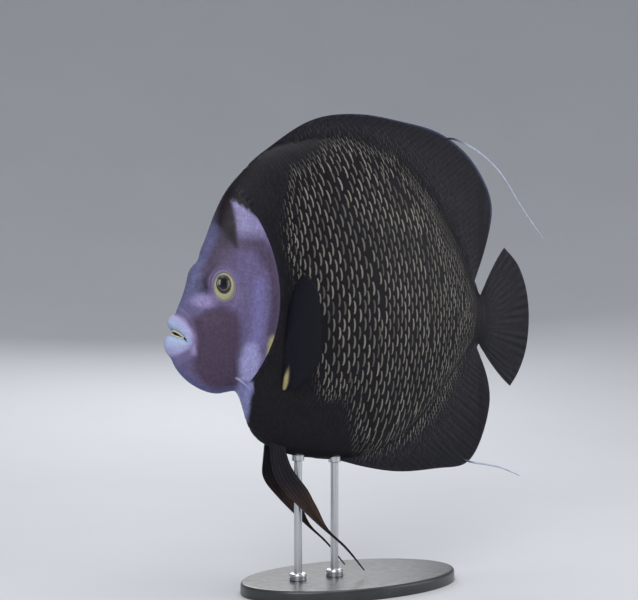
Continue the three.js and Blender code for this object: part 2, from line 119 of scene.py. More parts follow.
EYE_PLACE, EYE_RADIUS, EYE_SUNK, EYE_DEPTH = (-117.2, 9.4), 10.4, 2.0, 5.2
EYE_OVAL = (0.855, 1.04)  # the eye's length and height against a round one
EYE_AXIS = (-0.06, 1, 0.06)  # the right eye's; the left eye's has the other sign in the middle

# Free edge of the cheek plate, from the top down.
PREOPERCLE = [(-112.3, 42.8), (-110.2, 22), (-109.1, 0), (-110.7, -28.5), (-109.8, -46), (-106.8, -59.5)]

# Upper border of the face behind its crown, as heights over x.
NAPE_BORDER = [(-109, -106.5, -98, -89, -84, -80), (79, 73.5, 66.5, 58.5, 46.5, 38)]

# Border of the dark cheek.
CHEEK = [(-140, -14), (-134, -9.5), (-128.6, -5.7), (-120, -4), (-115.8, -4.3), (-109, -9), (-105.5, -15.7),
         (-104.7, -31.5), (-106, -42), (-102, -54), (-103, -66), (-116, -68), (-127, -62), (-137, -50),
         (-139, -38), (-137, -28)]

# Border of the pale patch behind the wedge.
NAPE_PATCH = [(-106.2, 79), (-100.5, 69), (-96, 65), (-91, 60), (-86.5, 52), (-83.5, 41), (-94, 38),
              (-101, 38), (-104.8, 42), (-105, 60)]

# Border of the part of the flank whose scales have pale rims.
STREAKED = [(-50, 100.3), (-24, 120.4), (-6.2, 123.7), (39.5, 112.5), (77.6, 79), (102.1, 39.9), (117.1, 8),
            (117.1, -24.1), (107, -56), (87.3, -87.3), (58.4, -109.6), (30.2, -119.7), (7.3, -122.2),
            (-1.7, -116.6), (-10.6, -97.4), (-19.4, -74.6), (-41.1, -73.8), (-47.9, -58.8), (-58, -20),
            (-66.5, 14.6), (-74.9, 43.5), (-69, 72.7), (-60.6, 98.6)]


# ---------------------------------------------------------------- settings

def shade(red, green, blue):
    """Linear colour of a screen colour given from 0 to 255: the sRGB curve, c / 12.92 near black and a
    power above."""
    parts = np.array([red, green, blue]) / 255
    return tuple(np.where(parts < 0.04045, parts / 12.92, ((parts + 0.055) / 1.055) ** 2.4))


def colour(name, description, *screen):
    """A colour setting whose default is a screen colour."""
    return FloatVectorProperty(name=name, description=description, subtype="COLOR", size=3, min=0, max=1,
                               default=shade(*screen))


def length(name, description, default):
    """A length setting in metres."""
    return FloatProperty(name=name, description=description, unit="LENGTH", default=default, min=0, max=10)


class AngelfishColours(bpy.types.PropertyGroup):
    """Colours of the fish, shared by its skin, its scales and its fins."""
    face: colour("Face", "Middle of the face", 106, 97, 134)
    cheek: colour("Cheek", "Dark patch under the eye", 78, 62, 82)
    brow: colour("Brow", "Forehead over the eye", 82, 70, 94)
    # partly painted highlight: the front of the forehead and snout in its own tone, made paler and bluer
    # where the ridge catches the light
    front: colour("Front", "Front of the forehead and snout", 104, 106, 144)
    wedge: colour("Wedge", "Dark wedge on the upper forehead", 30, 23, 31)
    patch: colour("Nape patch", "Pale patch behind the wedge", 142, 136, 178)
    cover: colour("Gill cover", "Gill cover", 124, 118, 170)
    throat: colour("Lower gill", "Pale skin below the gill cover", 162, 160, 208)
    flap: colour("Nostril flap", "Pale skin between nostril and eye", 156, 144, 190)
    chin: colour("Chin", "Underside of the jaw", 92, 96, 142)
    lips: colour("Lips", "Both lips", 158, 178, 206)
    # painted shade: near-black that stands in for the shade inside the mouth; the same dark is used for the
    # gill slit, the nostril pits and the pupil
    mouth: colour("Mouth", "Inside of the mouth", 22, 18, 30)
    bars: colour("Bars", "Pale yellow bars at the gill cover and the pectoral fin", 176, 166, 116)
    breast: colour("Breast stripe", "Stripe from the throat down the breast", 134, 136, 182)
    body: colour("Body", "Plain dark scales", 20, 18, 24)
    flank: colour("Flank", "Ground of the streaked flank", 17, 15, 21)
    rims: colour("Scale rims", "Pale rear rims of the flank's scales", 130, 126, 117)
    fins: colour("Fins", "Upright fins and tail", 20, 20, 27)
    # painted highlight: a pale blue line along the dorsal fin's edge, where its rim catches the light
    margin: colour("Fin margin", "Line along the dorsal fin's edge", 66, 72, 104)
    rays: colour("Fin rays", "Rays of the upright fins and tail", 40, 39, 50)
    pectoral: colour("Pectoral fins", "Pectoral fins", 18, 18, 28)
    pelvic: colour("Pelvic fins", "Pelvic fins", 50, 36, 30)
    streamer: colour("Streamers", "Filaments of the upright fins", 168, 176, 194)
    iris: colour("Iris", "Dark inner iris", 30, 27, 32)
    ring: colour("Eye ring", "Pale outer ring of the eye", 164, 160, 128)


class AngelfishSizes(bpy.types.PropertyGroup):
    """Sizes of the skin's modelling and of the scales."""
    coat_depth: length("Coat depth", "How far the skin lies inside the body's surface", 0.6 * MM)
    gill_step: length("Gill step", "Height of the gill cover's free edge", 1.9 * MM)
    scale_period: length("Scale period", "Distance from scale to scale along a row on the flank", 9.2 * MM)
    scale_rows: length("Row spacing", "Distance from row to row on the flank", 5.75 * MM)
    scale_lift: length("Scale lift", "Height of a large scale's rear edge above the skin", 0.62 * MM)
    face_rows: IntProperty(name="Face rows", description="Rows of scales over half of the head", default=92,
                           min=20)
    seed: IntProperty(name="Seed", description="Seed of the scales' small differences", default=7, min=0)
    pupil: length("Pupil", "Radius of the pupil", 4.3 * MM)
    rays: IntProperty(name="Fin rays", description="Rays of the dorsal fin", default=40, min=4)


class AngelfishStudio(bpy.types.PropertyGroup):
    """Camera, floor and lamps."""
    distance: length("Camera distance", "From the camera to the middle of the fish", 1.1)
    azimuth: FloatProperty(name="Azimuth", description="Camera's turn round the fish", subtype="ANGLE",
                           default=math.radians(-32))
    lens: FloatProperty(name="Lens", description="Focal length", subtype="DISTANCE_CAMERA", default=80.9)
    shift: FloatProperty(name="Shift", description="Sideways shift of the picture", default=-31 / 638)
    floor: colour("Floor", "Floor and backdrop", 202, 204, 208)
    key: FloatProperty(name="Key lamp", description="Power of the front lamp", unit="POWER", default=14)
    top: FloatProperty(name="Top lamp", description="Power of the lamp overhead", unit="POWER", default=9)


# ---------------------------------------------------------------- curves and small helpers

def ease(t):
    """Smooth step: 3t² - 2t³ with t held between 0 and 1."""
    t = np.clip(t, 0.0, 1.0)
    return t * t * (3 - 2 * t)


def mix(a, b, t):
    """a where t is 0 and b where t is 1."""
    return a + (b - a) * t


def unit(vectors):
    """The vectors at length 1."""
    return vectors / np.maximum(np.linalg.norm(vectors, axis=-1, keepdims=True), 1e-12)


def through(points, place):
    """Centripetal Catmull-Rom curve: between two points a cubic whose end slopes come from the neighbours,
    weighted by the square roots of the distances. place counts points from 0."""
    ends = np.vstack([2 * points[0] - points[1], points, 2 * points[-1] - points[-2]])
    first = np.clip(place.astype(int), 0, len(points) - 2)
    w = (place - first)[:, None]
    p0, p1, p2, p3 = (ends[first + n] for n in range(4))
    d0, d1, d2 = (np.linalg.norm(b - a, axis=1, keepdims=True) ** 0.5
                  for a, b in ((p0, p1), (p1, p2), (p2, p3)))
    m1 = ((p1 - p0) / d0 - (p2 - p0) / (d0 + d1) + (p2 - p1) / d1) * d1
    m2 = ((p2 - p1) / d1 - (p3 - p1) / (d1 + d2) + (p3 - p2) / d2) * d1
    return p1 + w * m1 + w**2 * (3 * (p2 - p1) - 2 * m1 - m2) + w**3 * (2 * (p1 - p2) + m1 + m2)


class Rail:
    """A curve through given points, one per whole number, eased by a short running mean so that its
    bend changes gently. Called with places, it gives one array per coordinate, in metres."""
    FINE = 120  # samples from point to point

    def __init__(self, points, eased=0.5, scale=MM):
        points = np.array(points, float)
        self.at = np.linspace(0, len(points) - 1, (len(points) - 1) * self.FINE + 1)
        curve = through(points, self.at)
        reach = int(eased * self.FINE)
        if reach:
            before, after = 2 * curve[0] - curve[reach:0:-1], 2 * curve[-1] - curve[-2:-reach - 2:-1]
            weights = np.hanning(2 * reach + 3)[1:-1]
            padded = np.vstack([before, curve, after])
            curve = np.stack([np.convolve(c, weights / weights.sum(), "valid") for c in padded.T], 1)
        self.columns = (curve * np.asarray(scale)).T

    def __call__(self, place):
        return [np.interp(place, self.at, column) for column in self.columns]


UPPER = Rail([(*row[1], row[5]) for row in STATIONS], scale=(MM, MM, 1))
FLANK = Rail([(*row[2], row[4]) for row in STATIONS])
LOWER = Rail([(*row[3], LOWER_TAPER) for row in STATIONS], scale=(MM, MM, 1))
DORSAL_RIM, ANAL_RIM, TAIL_RIM = Rail(DORSAL_EDGE), Rail(ANAL_EDGE), Rail(TAIL_EDGE)


def swing(x):
    """Sideways carry of the swimming curve at x: it grows with the square of the way to the tail's end."""
    return TAIL_SWING * (np.maximum(0, x - SWING_START) / (SWING_END - SWING_START)) ** 2


def spot(x, z, centre, size, soft=0.4):
    """1 inside an ellipse and 0 outside, with a soft border that is soft times its size, in millimetres."""
    r = np.hypot((x - centre[0]) / size[0], (z - centre[1]) / size[1])
    return 1 - ease((r - 1 + soft) / (2 * soft))


def stroke(x, z, points, soft):
    """1 along a broken line of (x, z, half width) places and 0 past it, with a border of soft millimetres."""
    best = np.zeros(np.broadcast(x, z).shape)
    for (ax, az, aw), (bx, bz, bw) in zip(points, points[1:]):
        t = np.clip(((x - ax) * (bx - ax) + (z - az) * (bz - az)) / ((bx - ax) ** 2 + (bz - az) ** 2), 0, 1)
        gap = np.hypot(x - mix(ax, bx, t), z - mix(az, bz, t)) - mix(aw, bw, t)
        best = np.maximum(best, 1 - ease((gap + soft) / (2 * soft)))
    return best


def depth_inside(x, z, border):
    """Distance to a closed border in its own unit, positive inside: the least distance to its sides, signed
    by how often a line from the place crosses them."""
    nearest = np.full(np.broadcast(x, z).shape, np.inf)
    inside = np.zeros(nearest.shape, bool)
    for (ax, az), (bx, bz) in zip(border, border[1:] + border[:1]):
        t = np.clip(((x - ax) * (bx - ax) + (z - az) * (bz - az)) / ((bx - ax) ** 2 + (bz - az) ** 2), 0, 1)
        nearest = np.minimum(nearest, np.hypot(x - mix(ax, bx, t), z - mix(az, bz, t)))
        crosses = (az > z) != (bz > z)
        inside ^= crosses & (x < ax + (bx - ax) * (z - az) / (bz - az if bz != az else 1))
    return np.where(inside, nearest, -nearest)


# ---------------------------------------------------------------- the fish's surface

FIN_SHARE = 0.16  # the part of a section's run that an upright fin takes
RIM_ROUNDING = 0.985  # where along a fin its edge begins to round off
RAY_RELIEF = 0.15 * MM
TAIL_RAYS = 17
FIN_LEAD = 0.4  # a fin's foot begins this many stations before the fin's own first one
FIN_CLIMB, TAIL_CLIMB = 1.5, 1.3  # how much faster the run climbs a fin near the body than near the rim
TAIL_BORDER = 0.96  # where across the tail its upper and lower edge begin to round off


def folded(s):
    """A run that has gone past either edge, folded back on to the section."""
    return np.where(s < 0, -s, np.where(s > 1, 2 - s, s))


def section(k, s):
    """The plain surface at station k and run s, which goes from 0 at the upper edge to 1 at the lower edge.

    On the body the run is a turn t from 1 to -1: x goes from the broadest place towards the edge with
    sin²(90t), z with sin(90t), and the half width with cos(90t) to the power of the taper. The first and
    last shares of the run climb straight rays from the edge to a fin's rim, thinning on the way. Past the
    tail root every place of the root's section runs straight to the tail's edge. Gives x, z, half width, the
    way out along a fin from 0 to 1, and the turn."""
    at = np.minimum(k, TAIL_ROOT)
    fading = 1 - ease(at - STEM_END)
    shares = [FIN_SHARE * fading * ease((at - start + FIN_LEAD) / 3) for start in (NAPE, MID_BODY)]
    turn = 1 - 2 * np.clip((s - shares[0]) / (1 - shares[0] - shares[1]), 0, 1)
    rise, width = np.abs(np.sin(turn * np.pi / 2)), np.maximum(np.cos(turn * np.pi / 2), 0)
    (ux, uz, upper_taper), (lx, lz, lower_taper), (fx, fz, broadest) = UPPER(at), LOWER(at), FLANK(at)
    above = turn > 0
    edge_half = FIN_BASE_HALF * fading * np.where(above, ease(at - NAPE), ease(at - MID_BODY))
    x = fx + (np.where(above, ux, lx) - fx) * rise**2
    z = fz + (np.where(above, uz, lz) - fz) * rise
    half = np.hypot(broadest * width ** np.where(above, upper_taper, lower_taper), edge_half)
    way = np.zeros(x.shape)
    fins = ((NAPE, shares[0], s, DORSAL_RIM, UPPER), (MID_BODY, shares[1], 1 - s, ANAL_RIM, LOWER))
    for start, share, run, rim, edge in fins:
        out = 1 - (1 - np.clip((share - run) / np.maximum(share, 1e-6), 0, 1)) ** FIN_CLIMB
        held = np.clip(at, start, STEM_END)
        rx, rz = rim(held - start)
        ex, ez, _ = edge(held)
        reach = ease((at - start + FIN_LEAD) / (2 * FIN_LEAD)) * fading * out
        x, z = x + (rx - ex) * reach, z + (rz - ez) * reach
        rays = RAY_RELIEF * np.cos(2 * np.pi * scene_sizes().rays * (at - NAPE) / (STEM_END - NAPE))
        blade = mix(half, FIN_RIM_HALF, out) + rays * np.sin(np.pi * out)
        rounded = np.sqrt(1 - np.clip((out - RIM_ROUNDING) / (1 - RIM_ROUNDING), 0, 1) ** 2)
        half = np.where(out > 0, blade * rounded, half)
        way = np.maximum(way, out)
    tail = 1 - (1 - np.clip((k - TAIL_ROOT) / (TAIL_END - TAIL_ROOT), 0, 1)) ** TAIL_CLIMB
    rx, rz = TAIL_RIM(s * (len(TAIL_EDGE) - 1))
    x = mix(x, rx, tail)
    z = mix(z, rz, tail) + 4 * TAIL_BOW * tail * (1 - tail) * (1 - 2 * s)
    border = np.sqrt(1 - np.clip((np.abs(1 - 2 * s) - TAIL_BORDER) / (1 - TAIL_BORDER), 0, 1) ** 2)
    blade = FIN_RIM_HALF + 1.5 * RAY_RELIEF * np.cos(2 * np.pi * TAIL_RAYS * s)
    rounded = np.sqrt(1 - np.clip((tail - RIM_ROUNDING) / (1 - RIM_ROUNDING), 0, 1) ** 2)
    half = np.where(tail > 0, mix(half, blade * border, np.sqrt(tail)) * rounded, half)
    return x, z, half, np.maximum(way, tail), turn


def plain_point(k, s, side):
    """Place in space. A run below 0 or above 1 goes over the edge onto the other side."""
    over = (s < 0) | (s > 1)
    x, z, half, _, _ = section(k, folded(s))
    return np.stack([x, swing(x) + side * np.where(over, -half, half), z + FISH_HEIGHT], -1)


def half_at(x, z):
    """Half width of the plain head at a side view place in millimetres, from the nearest place of a net of
    400 stations by 400 runs."""
    k, s = np.meshgrid(np.linspace(SNOUT, GILL, 400), np.linspace(0.1, 0.9, 400))
    net_x, net_z, half, _, _ = section(k, s)
    return half.flat[np.hypot(net_x - x * MM, net_z - z * MM).argmin()] / MM


def free_edge(distance, raised, sunk, before, after, sharp):
    """Profile of a plate's free edge: it swells towards the edge, drops over sharp and levels out behind."""
    past = 0.5 + 0.5 * np.tanh(distance / sharp)
    swell = raised * np.exp(np.minimum(distance, 0) / before)
    return swell * (1 - past) - sunk * np.exp(-np.maximum(distance, 0) / after) * past


LIP_FOLDS = 95  # how fast the fine folds follow each other round the lips

# Soft swellings and hollows of the head: x, z, reach in x, reach in z, height, in millimetres.
SWELLINGS = ((-122, -26, 15, 20, 1.1), (-129, 30, 6, 5, -1.8), (-137, 20, 5, 5, 0.7), (-131, -6, 7, 8, -0.7),
             (-92, 20, 9, 26, 0.8), (-134, -48, 7, 7, 0.6), (-106, 52, 8, 16, -0.6), (-96, -50, 7, 10, 0.5))


def gill_edge_x(z):
    """x of the gill cover's rear edge at a height, in millimetres."""
    turn = np.linspace(-1, 1, 81)
    upper, lower, middle = (np.array(STATIONS[GILL][n], float) for n in (1, 3, 2))
    rise = np.abs(np.sin(turn * np.pi / 2))[:, None]
    line = middle + (np.where(turn[:, None] > 0, upper, lower) - middle) * np.hstack([rise**2, rise])
    return np.interp(z, line[:, 1], line[:, 0])


def relief(x, z, half, k, turn, sockets):
    """Height of the head's modelling over the plain surface: swellings as bell curves, the free edges of
    gill cover and cheek plate, folds under the gill, the mouth's fold, wrinkled lips, and the orbit, which
    brings the skin to the plane of the eye's rim and leaves a socket inside it."""
    x, z = x / MM, z / MM
    on_head = 1 - ease((k - GILL - 0.8) / 0.5)
    height = np.zeros(x.shape)
    for cx, cz, rx, rz, swell in SWELLINGS:
        height += swell * np.exp(-(((x - cx) / rx) ** 2 + ((z - cz) / rz) ** 2)) * (k < GILL)
    step = scene_sizes().gill_step / MM
    window = ease((0.86 - turn) / 0.34) * ease((turn + 0.78) / 0.12) * ease((k - GILL + 1.6) / 0.8)
    height += window * free_edge(x - gill_edge_x(z), 0.52 * step, 0.48 * step, 10, 7, 0.35)
    line = np.array(PREOPERCLE[::-1], float)
    window = ease((4 - z) / 14) * ease((z + 60) / 6) * (k < GILL)
    height += window * free_edge(x - np.interp(z, line[:, 1], line[:, 0]), 0.55, 0.6, 9, 4, 0.4)
    folds = ease((-0.5 - turn) / 0.2) * ease((k - 5.6) / 1) * ease((GILL - k) / 0.3)
    height += 0.28 * folds * np.cos(2 * np.pi * 9 * turn)
    jaw = stroke(x, z, [(-146, -12, 0.3), (-137.5, -30, 0.5), (-134.5, -42, 0.4), (-137, -50, 0.1)], 1.5)
    height -= 0.9 * jaw * (k > GROOVE - 0.6)
    chin = stroke(x, z, [(-139, -50, 0.2), (-126, -58.5, 0.3), (-110, -61.5, 0.3)], 1.4)
    height -= 0.45 * chin * (k < GILL)
    lips = ease((k - 0.6) / 0.6) * (1 - ease((k - 2.5) / 0.5))
    height += lips * (0.16 * np.cos(turn * LIP_FOLDS + 2 * np.sin(4 * k)) + 0.1 * np.cos(turn * 37 + 3 * k))
    height += 0.3 * ease((k - 2.0) / 0.4) * (1 - ease((k - 2.5) / 0.35))
    height -= 0.8 * np.exp(-(((k - GROOVE) / 0.22) ** 2))
    r = np.hypot((x - EYE_PLACE[0]) / EYE_OVAL[0], (z - EYE_PLACE[1]) / EYE_OVAL[1])
    rim_plane = eye_half() + EYE_AXIS[0] * (EYE_PLACE[0] - x) + EYE_AXIS[2] * (EYE_PLACE[1] - z) + 0.45
    reach = np.where(x < EYE_PLACE[0], mix(8.0, 5.6, ease((EYE_PLACE[0] - x) / 9)), 8.0)
    near_eye = (1 - ease((r - 10.6) / reach)) * (k < GILL)
    height += near_eye * (0.95 * (rim_plane - half / MM) - height)
    if sockets:
        height -= 3.6 * (1 - ease((r - 8.8) / 1.9)) * (k < GILL)
    return height * on_head * MM


def skin_point(k, s, side, sockets=True):
    """Place on the skin and the way out: the plain surface with its modelling, sunk by the coat's depth."""
    k, s = np.broadcast_arrays(np.asarray(k, float), np.asarray(s, float))
    small = 2e-3
    along = plain_point(k + small, s, side) - plain_point(k - small, s, side)
    down = plain_point(k, s + small, side) - plain_point(k, s - small, side)
    out = unit(np.cross(along, down) * side)
    x, z, half, way, turn = section(k, folded(s))
    coat = scene_sizes().coat_depth
    depth = mix(0.05 * MM, 0.5 * coat, ease((k - GROOVE) / 0.6))
    depth = mix(depth, coat, ease((k - GILL) / 0.4))
    depth = mix(depth, 0.1 * MM, ease(way * 4))
    return plain_point(k, s, side) + out * (relief(x, z, half, k, turn, sockets) - depth)[..., None], out


# ---------------------------------------------------------------- markings

# Strokes of colour as (x, z, half width).
WEDGE = [(-107.5, 77, 2), (-110.2, 66, 4), (-111.5, 56, 5.4), (-109, 46, 3.2), (-106.6, 38, 0.8)]
LOWER_GILL = [(-96.5, -37, 6), (-96, -44, 7.6), (-95.5, -52, 6.8), (-95, -61, 4.6)]
BREAST_STRIPE = [(-95.5, -60, 5.6), (-94, -75, 3.4), (-90, -99, 0.4)]


def bands(angle):
    """Even bands: 1 where the angle is a whole turn and 0 half a turn on, as a cosine."""
    return 0.5 + 0.5 * np.cos(angle)


def markings(x, z, k, turn, way):
    """Colour of the fish at side view place x, z: layers of soft spots and strokes over the body colour."""
    tones = bpy.context.scene.angelfish_colours
    x, z = np.asarray(x) / MM, np.asarray(z) / MM
    k, turn, way = (np.broadcast_to(v, x.shape) for v in (k, turn, way))
    face = 1 - ease((k - GILL + 0.01) / 0.04)
    inside = ease(depth_inside(x, z, STREAKED) / 8 + 0.4) * (k > GILL)
    behind = x - gill_edge_x(z)
    on_tail = x > 126
    layers = (
        (inside, tones.flank),
        (face, tones.face),
        (face * ease((turn - 0.3) / 0.3) * ease((k - 4.4) / 0.8), tones.brow),
        (face * stroke(x, z, [(-99, 40, 3), (-91, 40, 5), (-85, 26, 4)], 5), tones.brow),
        (face * stroke(x, z, [(-92.5, 12, 3), (-92, -5, 4), (-93, -25, 4.5), (-96, -38, 4)], 5), tones.cover),
        (face * ease((8.2 + behind) / 1.6) * ease((44 - z) / 10) * ease((z + 30) / 8), tones.brow),
        (0.9 * face * ease(depth_inside(x, z, CHEEK) / 7 + 0.45), tones.cheek),
        # partly painted highlight: the forehead's upper front edge and the snout before the eye, paler and
        # bluer where they catch the light
        (0.8 * face * ease((turn - 0.66) / 0.16) * (1 - ease(k - 6.4)) * ease((k - 3) / 0.6), tones.front),
        (0.8 * face * spot(x, z, (-136, 9), (6, 15), 0.6), tones.front),
        (0.5 * face * stroke(x, z, [(-112.5, 62, 4), (-112.5, 50, 5.5), (-113, 42, 4.5)], 5), tones.wedge),
        (face * stroke(x, z, WEDGE, 2), tones.wedge),
        (face * ease(depth_inside(x, z, NAPE_PATCH) / 2.6 + 0.5) * ease((z - 41) / 12), tones.patch),
        (face * ease((z - np.interp(x, *NAPE_BORDER) + 0.8) / 1.6), tones.body),
        (face * spot(x, z, (-131, -0.6), (7, 4.6), 0.6), tones.flap),
        # painted shadow: a dark smudge in the hollow in front of the eye, by the nostrils
        (0.6 * face * spot(x, z, (-131, 10.6), (3, 5.2), 0.7), tones.wedge),
        (face * stroke(x, z, LOWER_GILL, 3.4), tones.throat),
        (0.85 * face * ease((-0.68 - turn) / 0.2) * (1 - ease((k - 6.8) / 0.8)), tones.chin),
        (0.75 * face * stroke(x, z, [(-145.5, -13, 1.6), (-139.5, -25, 2.4), (-137.6, -38, 1.6)], 2.2),
         tones.flap),
        (1 - ease((k - 2.6) / 0.35), tones.lips),
        (0.55 * (1 - ease((k - 2.75) / 0.3)) * ease((k - 1.9) / 0.5), tones.flap),
        (0.3 * (k < 2.6) * ease(bands(turn * LIP_FOLDS + 2 * np.sin(4 * k))), tones.flap),
        # painted shade: the inside of the mouth, down to the sheet that closes the throat, near-black for the
        # shade in the mouth
        (1 - ease((k - 0.55) / 0.5), tones.mouth),
        (face * ease((behind + mix(1.8, 4.2, ease((z + 40) / 9))) / 1.8) * ease((-24 - z) / 4)
         * ease((z + 42) / 4), tones.bars),
        # painted shade: a thin near-black line just behind the gill cover's free edge, in the slit under it
        (ease(1.5 - np.abs(behind - 1.1)) * (k > GILL - 0.3) * (z > -64) * (z < 68), tones.mouth),
        (stroke(x, z, BREAST_STRIPE, 1.1) * ease((-58 - z) / 3), tones.breast),
        (ease(way * 5), tones.fins),
        # painted highlight: pale blue line along the dorsal fin's edge, where its rim catches the light
        (ease((way - 0.955) / 0.02) * (z > 60) * ease((x + 20) / 30), tones.margin),
        (0.6 * on_tail * ease((x - 128) / 12) * bands(60 * np.arctan2(z + 22, x - 113)), tones.rays),
        (0.4 * ease(way * 4) * ~on_tail * bands(1.5 * (0.82 * np.abs(z) - 0.57 * x)), tones.rays),
    )
    paint = np.broadcast_to(np.array(tones.body), x.shape + (3,))
    for mask, over in layers:
        paint = mix(paint, np.array(over), np.asarray(mask, float)[..., None])
    return paint


def rim_strength(x, z, way):
    """How pale a scale's rear rim is: full on the streaked flank, faint dots on the fins, none elsewhere."""
    inside = depth_inside(np.asarray(x) / MM, np.asarray(z) / MM, STREAKED)
    on_fin = 0.2 * ease(way * 6) * (1 - ease((way - 0.3) / 0.55)) * (1 - 0.6 * (x > 0.124))
    return np.maximum(ease(inside / 12 + 0.4), on_fin + 0.045 * (1 - ease(way * 4)))


# ---------------------------------------------------------------- meshes

def scene_sizes():
    """The scene's sizes of skin and scales."""
    return bpy.context.scene.angelfish_sizes


def tone(name):
    """One of the scene's colours, by name."""
    return np.array(getattr(bpy.context.scene.angelfish_colours, name))


def numbered(rows, columns):
    """Grid of vertex numbers, row by row."""
    return np.arange(rows * columns).reshape(rows, columns)


def quads(grid):
    """The quads between neighbours of a grid of vertex numbers."""
    return np.stack([grid[:-1, :-1], grid[1:, :-1], grid[1:, 1:], grid[:-1, 1:]], -1).reshape(-1, 4)


def add_mesh(name, points, faces, material, sharp_angle=None, uvs=None, values=None, tones=None):
    """Puts vertex and quad arrays into a mesh object. A quad whose last two corners are the same is a
    triangle. uvs are given per face corner, values and tones per vertex."""
    points, faces = np.asarray(points, np.float32).reshape(-1, 3), np.asarray(faces, np.int32)
    mesh = bpy.data.meshes.new(name)
    corner_kept = np.ones(faces.shape, bool)
    corner_kept[:, 3] = faces[:, 3] != faces[:, 2]
    sizes = corner_kept.sum(1)
    corners = faces[corner_kept]
    mesh.vertices.add(len(points))
    mesh.vertices.foreach_set("co", points.ravel())
    mesh.loops.add(len(corners))
    mesh.loops.foreach_set("vertex_index", corners)
    mesh.polygons.add(len(faces))
    mesh.polygons.foreach_set("loop_start", np.concatenate([[0], np.cumsum(sizes)[:-1]]).astype(np.int32))
    mesh.polygons.foreach_set("use_smooth", np.ones(len(faces), bool))
    mesh.update(calc_edges=True)
    for uv_name, uv in (uvs or {}).items():
        layer = mesh.uv_layers.new(name=uv_name)
        layer.uv.foreach_set("vector", np.asarray(uv, np.float32)[corner_kept].ravel())
    for key, value in (values or {}).items():
        stored = mesh.attributes.new(key, "FLOAT", "POINT").data
        stored.foreach_set("value", np.asarray(value, np.float32).ravel())
    if tones is not None:
        rgba = np.ones((len(points), 4), np.float32)
        rgba[:, :3] = np.asarray(tones).reshape(-1, 3)
        stored = mesh.attributes.new("markings", "FLOAT_COLOR", "POINT").data
        stored.foreach_set("color", rgba.ravel())
    if mesh.validate():
        raise RuntimeError(f"{name} has faces that had to be repaired")
    if sharp_angle:
        mesh.set_sharp_from_angle(angle=sharp_angle)
    mesh.materials.append(material)
    piece = bpy.data.objects.new(name, mesh)
    bpy.context.scene.collection.objects.link(piece)
    return piece


def finish_piece(piece, slot, *nodes):
    """Rides the piece on the model's one body and hides the nodes it stands for. The slot is not used."""
    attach(piece, "root")
    if nodes:
        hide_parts(*nodes)


def pillow(middle, across):
    """Closed piece from a grid of middle places and half thickness vectors: two sheets that share the grid's
    border. Gives points and quads."""
    rows, columns = middle.shape[:2]
    top = numbered(rows, columns)
    low = top.copy()
    low[1:-1, 1:-1] = rows * columns + numbered(rows - 2, columns - 2)
    across = across.copy()
    across[[0, -1]] = 0
    across[:, [0, -1]] = 0
    points = np.vstack([(middle + across).reshape(-1, 3), (middle - across)[1:-1, 1:-1].reshape(-1, 3)])
    return points, np.vstack([quads(top), quads(low)[:, ::-1]])


def turned_round(faces):
    """The faces seen from their other side."""
    turned = faces[:, ::-1].copy()
    triangle = faces[:, 2] == faces[:, 3]
    turned[triangle] = faces[triangle][:, [0, 2, 1, 1]]
    return turned


def outward(points, faces):
    """Turns the faces round if the closed piece they make is inside out, by the sign of its volume."""
    a, b, c, d = (points[faces[:, n]] for n in range(4))
    volume = (np.cross(a, b) * c).sum() + (np.cross(a, c) * d).sum()
    return faces if volume >= 0 else turned_round(faces)


def join_rings(points, ends=(0, -1)):
    """Surface of rings of points round an axis. The rings named in ends are drawn together in their first
    point, so the quads that meet there become triangles. Gives points, quads and the numbers of the points
    that are kept."""
    grid = numbered(*points.shape[:2])
    for end in ends:
        grid[end] = grid[end, 0]
    faces = quads(np.hstack([grid, grid[:, :1]]))
    if 0 in ends:
        first = faces[:, 0] == grid[0, 0]
        faces[first] = faces[first][:, [0, 1, 2, 2]]
    if -1 in ends:
        last = faces[:, 1] == grid[-1, 0]
        faces[last] = faces[last][:, [0, 1, 3, 3]]
    used, numbers = np.unique(faces, return_inverse=True)
    return points.reshape(-1, 3)[used], numbers.reshape(faces.shape), used


def lathe(radii, heights, round_steps, place=(0, 0, 0), stretch=1.0, axes=((1, 0, 0), (0, 1, 0), (0, 0, 1))):
    """Profile of radii and heights turned round the last of three axes. A radius of 0 at either end closes
    it in a point; stretch widens the turn along the second axis. Gives points and quads."""
    turn = np.linspace(0, 2 * np.pi, round_steps, endpoint=False)
    first, second, axis = np.array(axes)
    ring = np.cos(turn)[:, None] * first + stretch * np.sin(turn)[:, None] * second
    points = np.asarray(place) + radii[:, None, None] * ring + heights[:, None, None] * axis
    return join_rings(points, [end for end in (0, -1) if radii[end] == 0])[:2]


def tube(path, radii, sides, flatten):
    """A round cord along a path with a radius at each place, closed in a point at both ends. flatten narrows
    it across Y. Gives points and quads."""
    ahead = unit(np.gradient(path, axis=0))
    sideways = unit(np.cross(ahead, (0, 1, 0)))
    other = np.cross(sideways, ahead)
    turn = np.linspace(0, 2 * np.pi, sides, endpoint=False)
    ring = np.cos(turn)[:, None] * sideways[:, None] + flatten * np.sin(turn)[:, None] * other[:, None]
    return join_rings(path[:, None] + radii[:, None, None] * ring)[:2]


# ---------------------------------------------------------------- materials

NOISE_SPREAD = (0.3, 0.7)  # nearly all of a noise lies between these


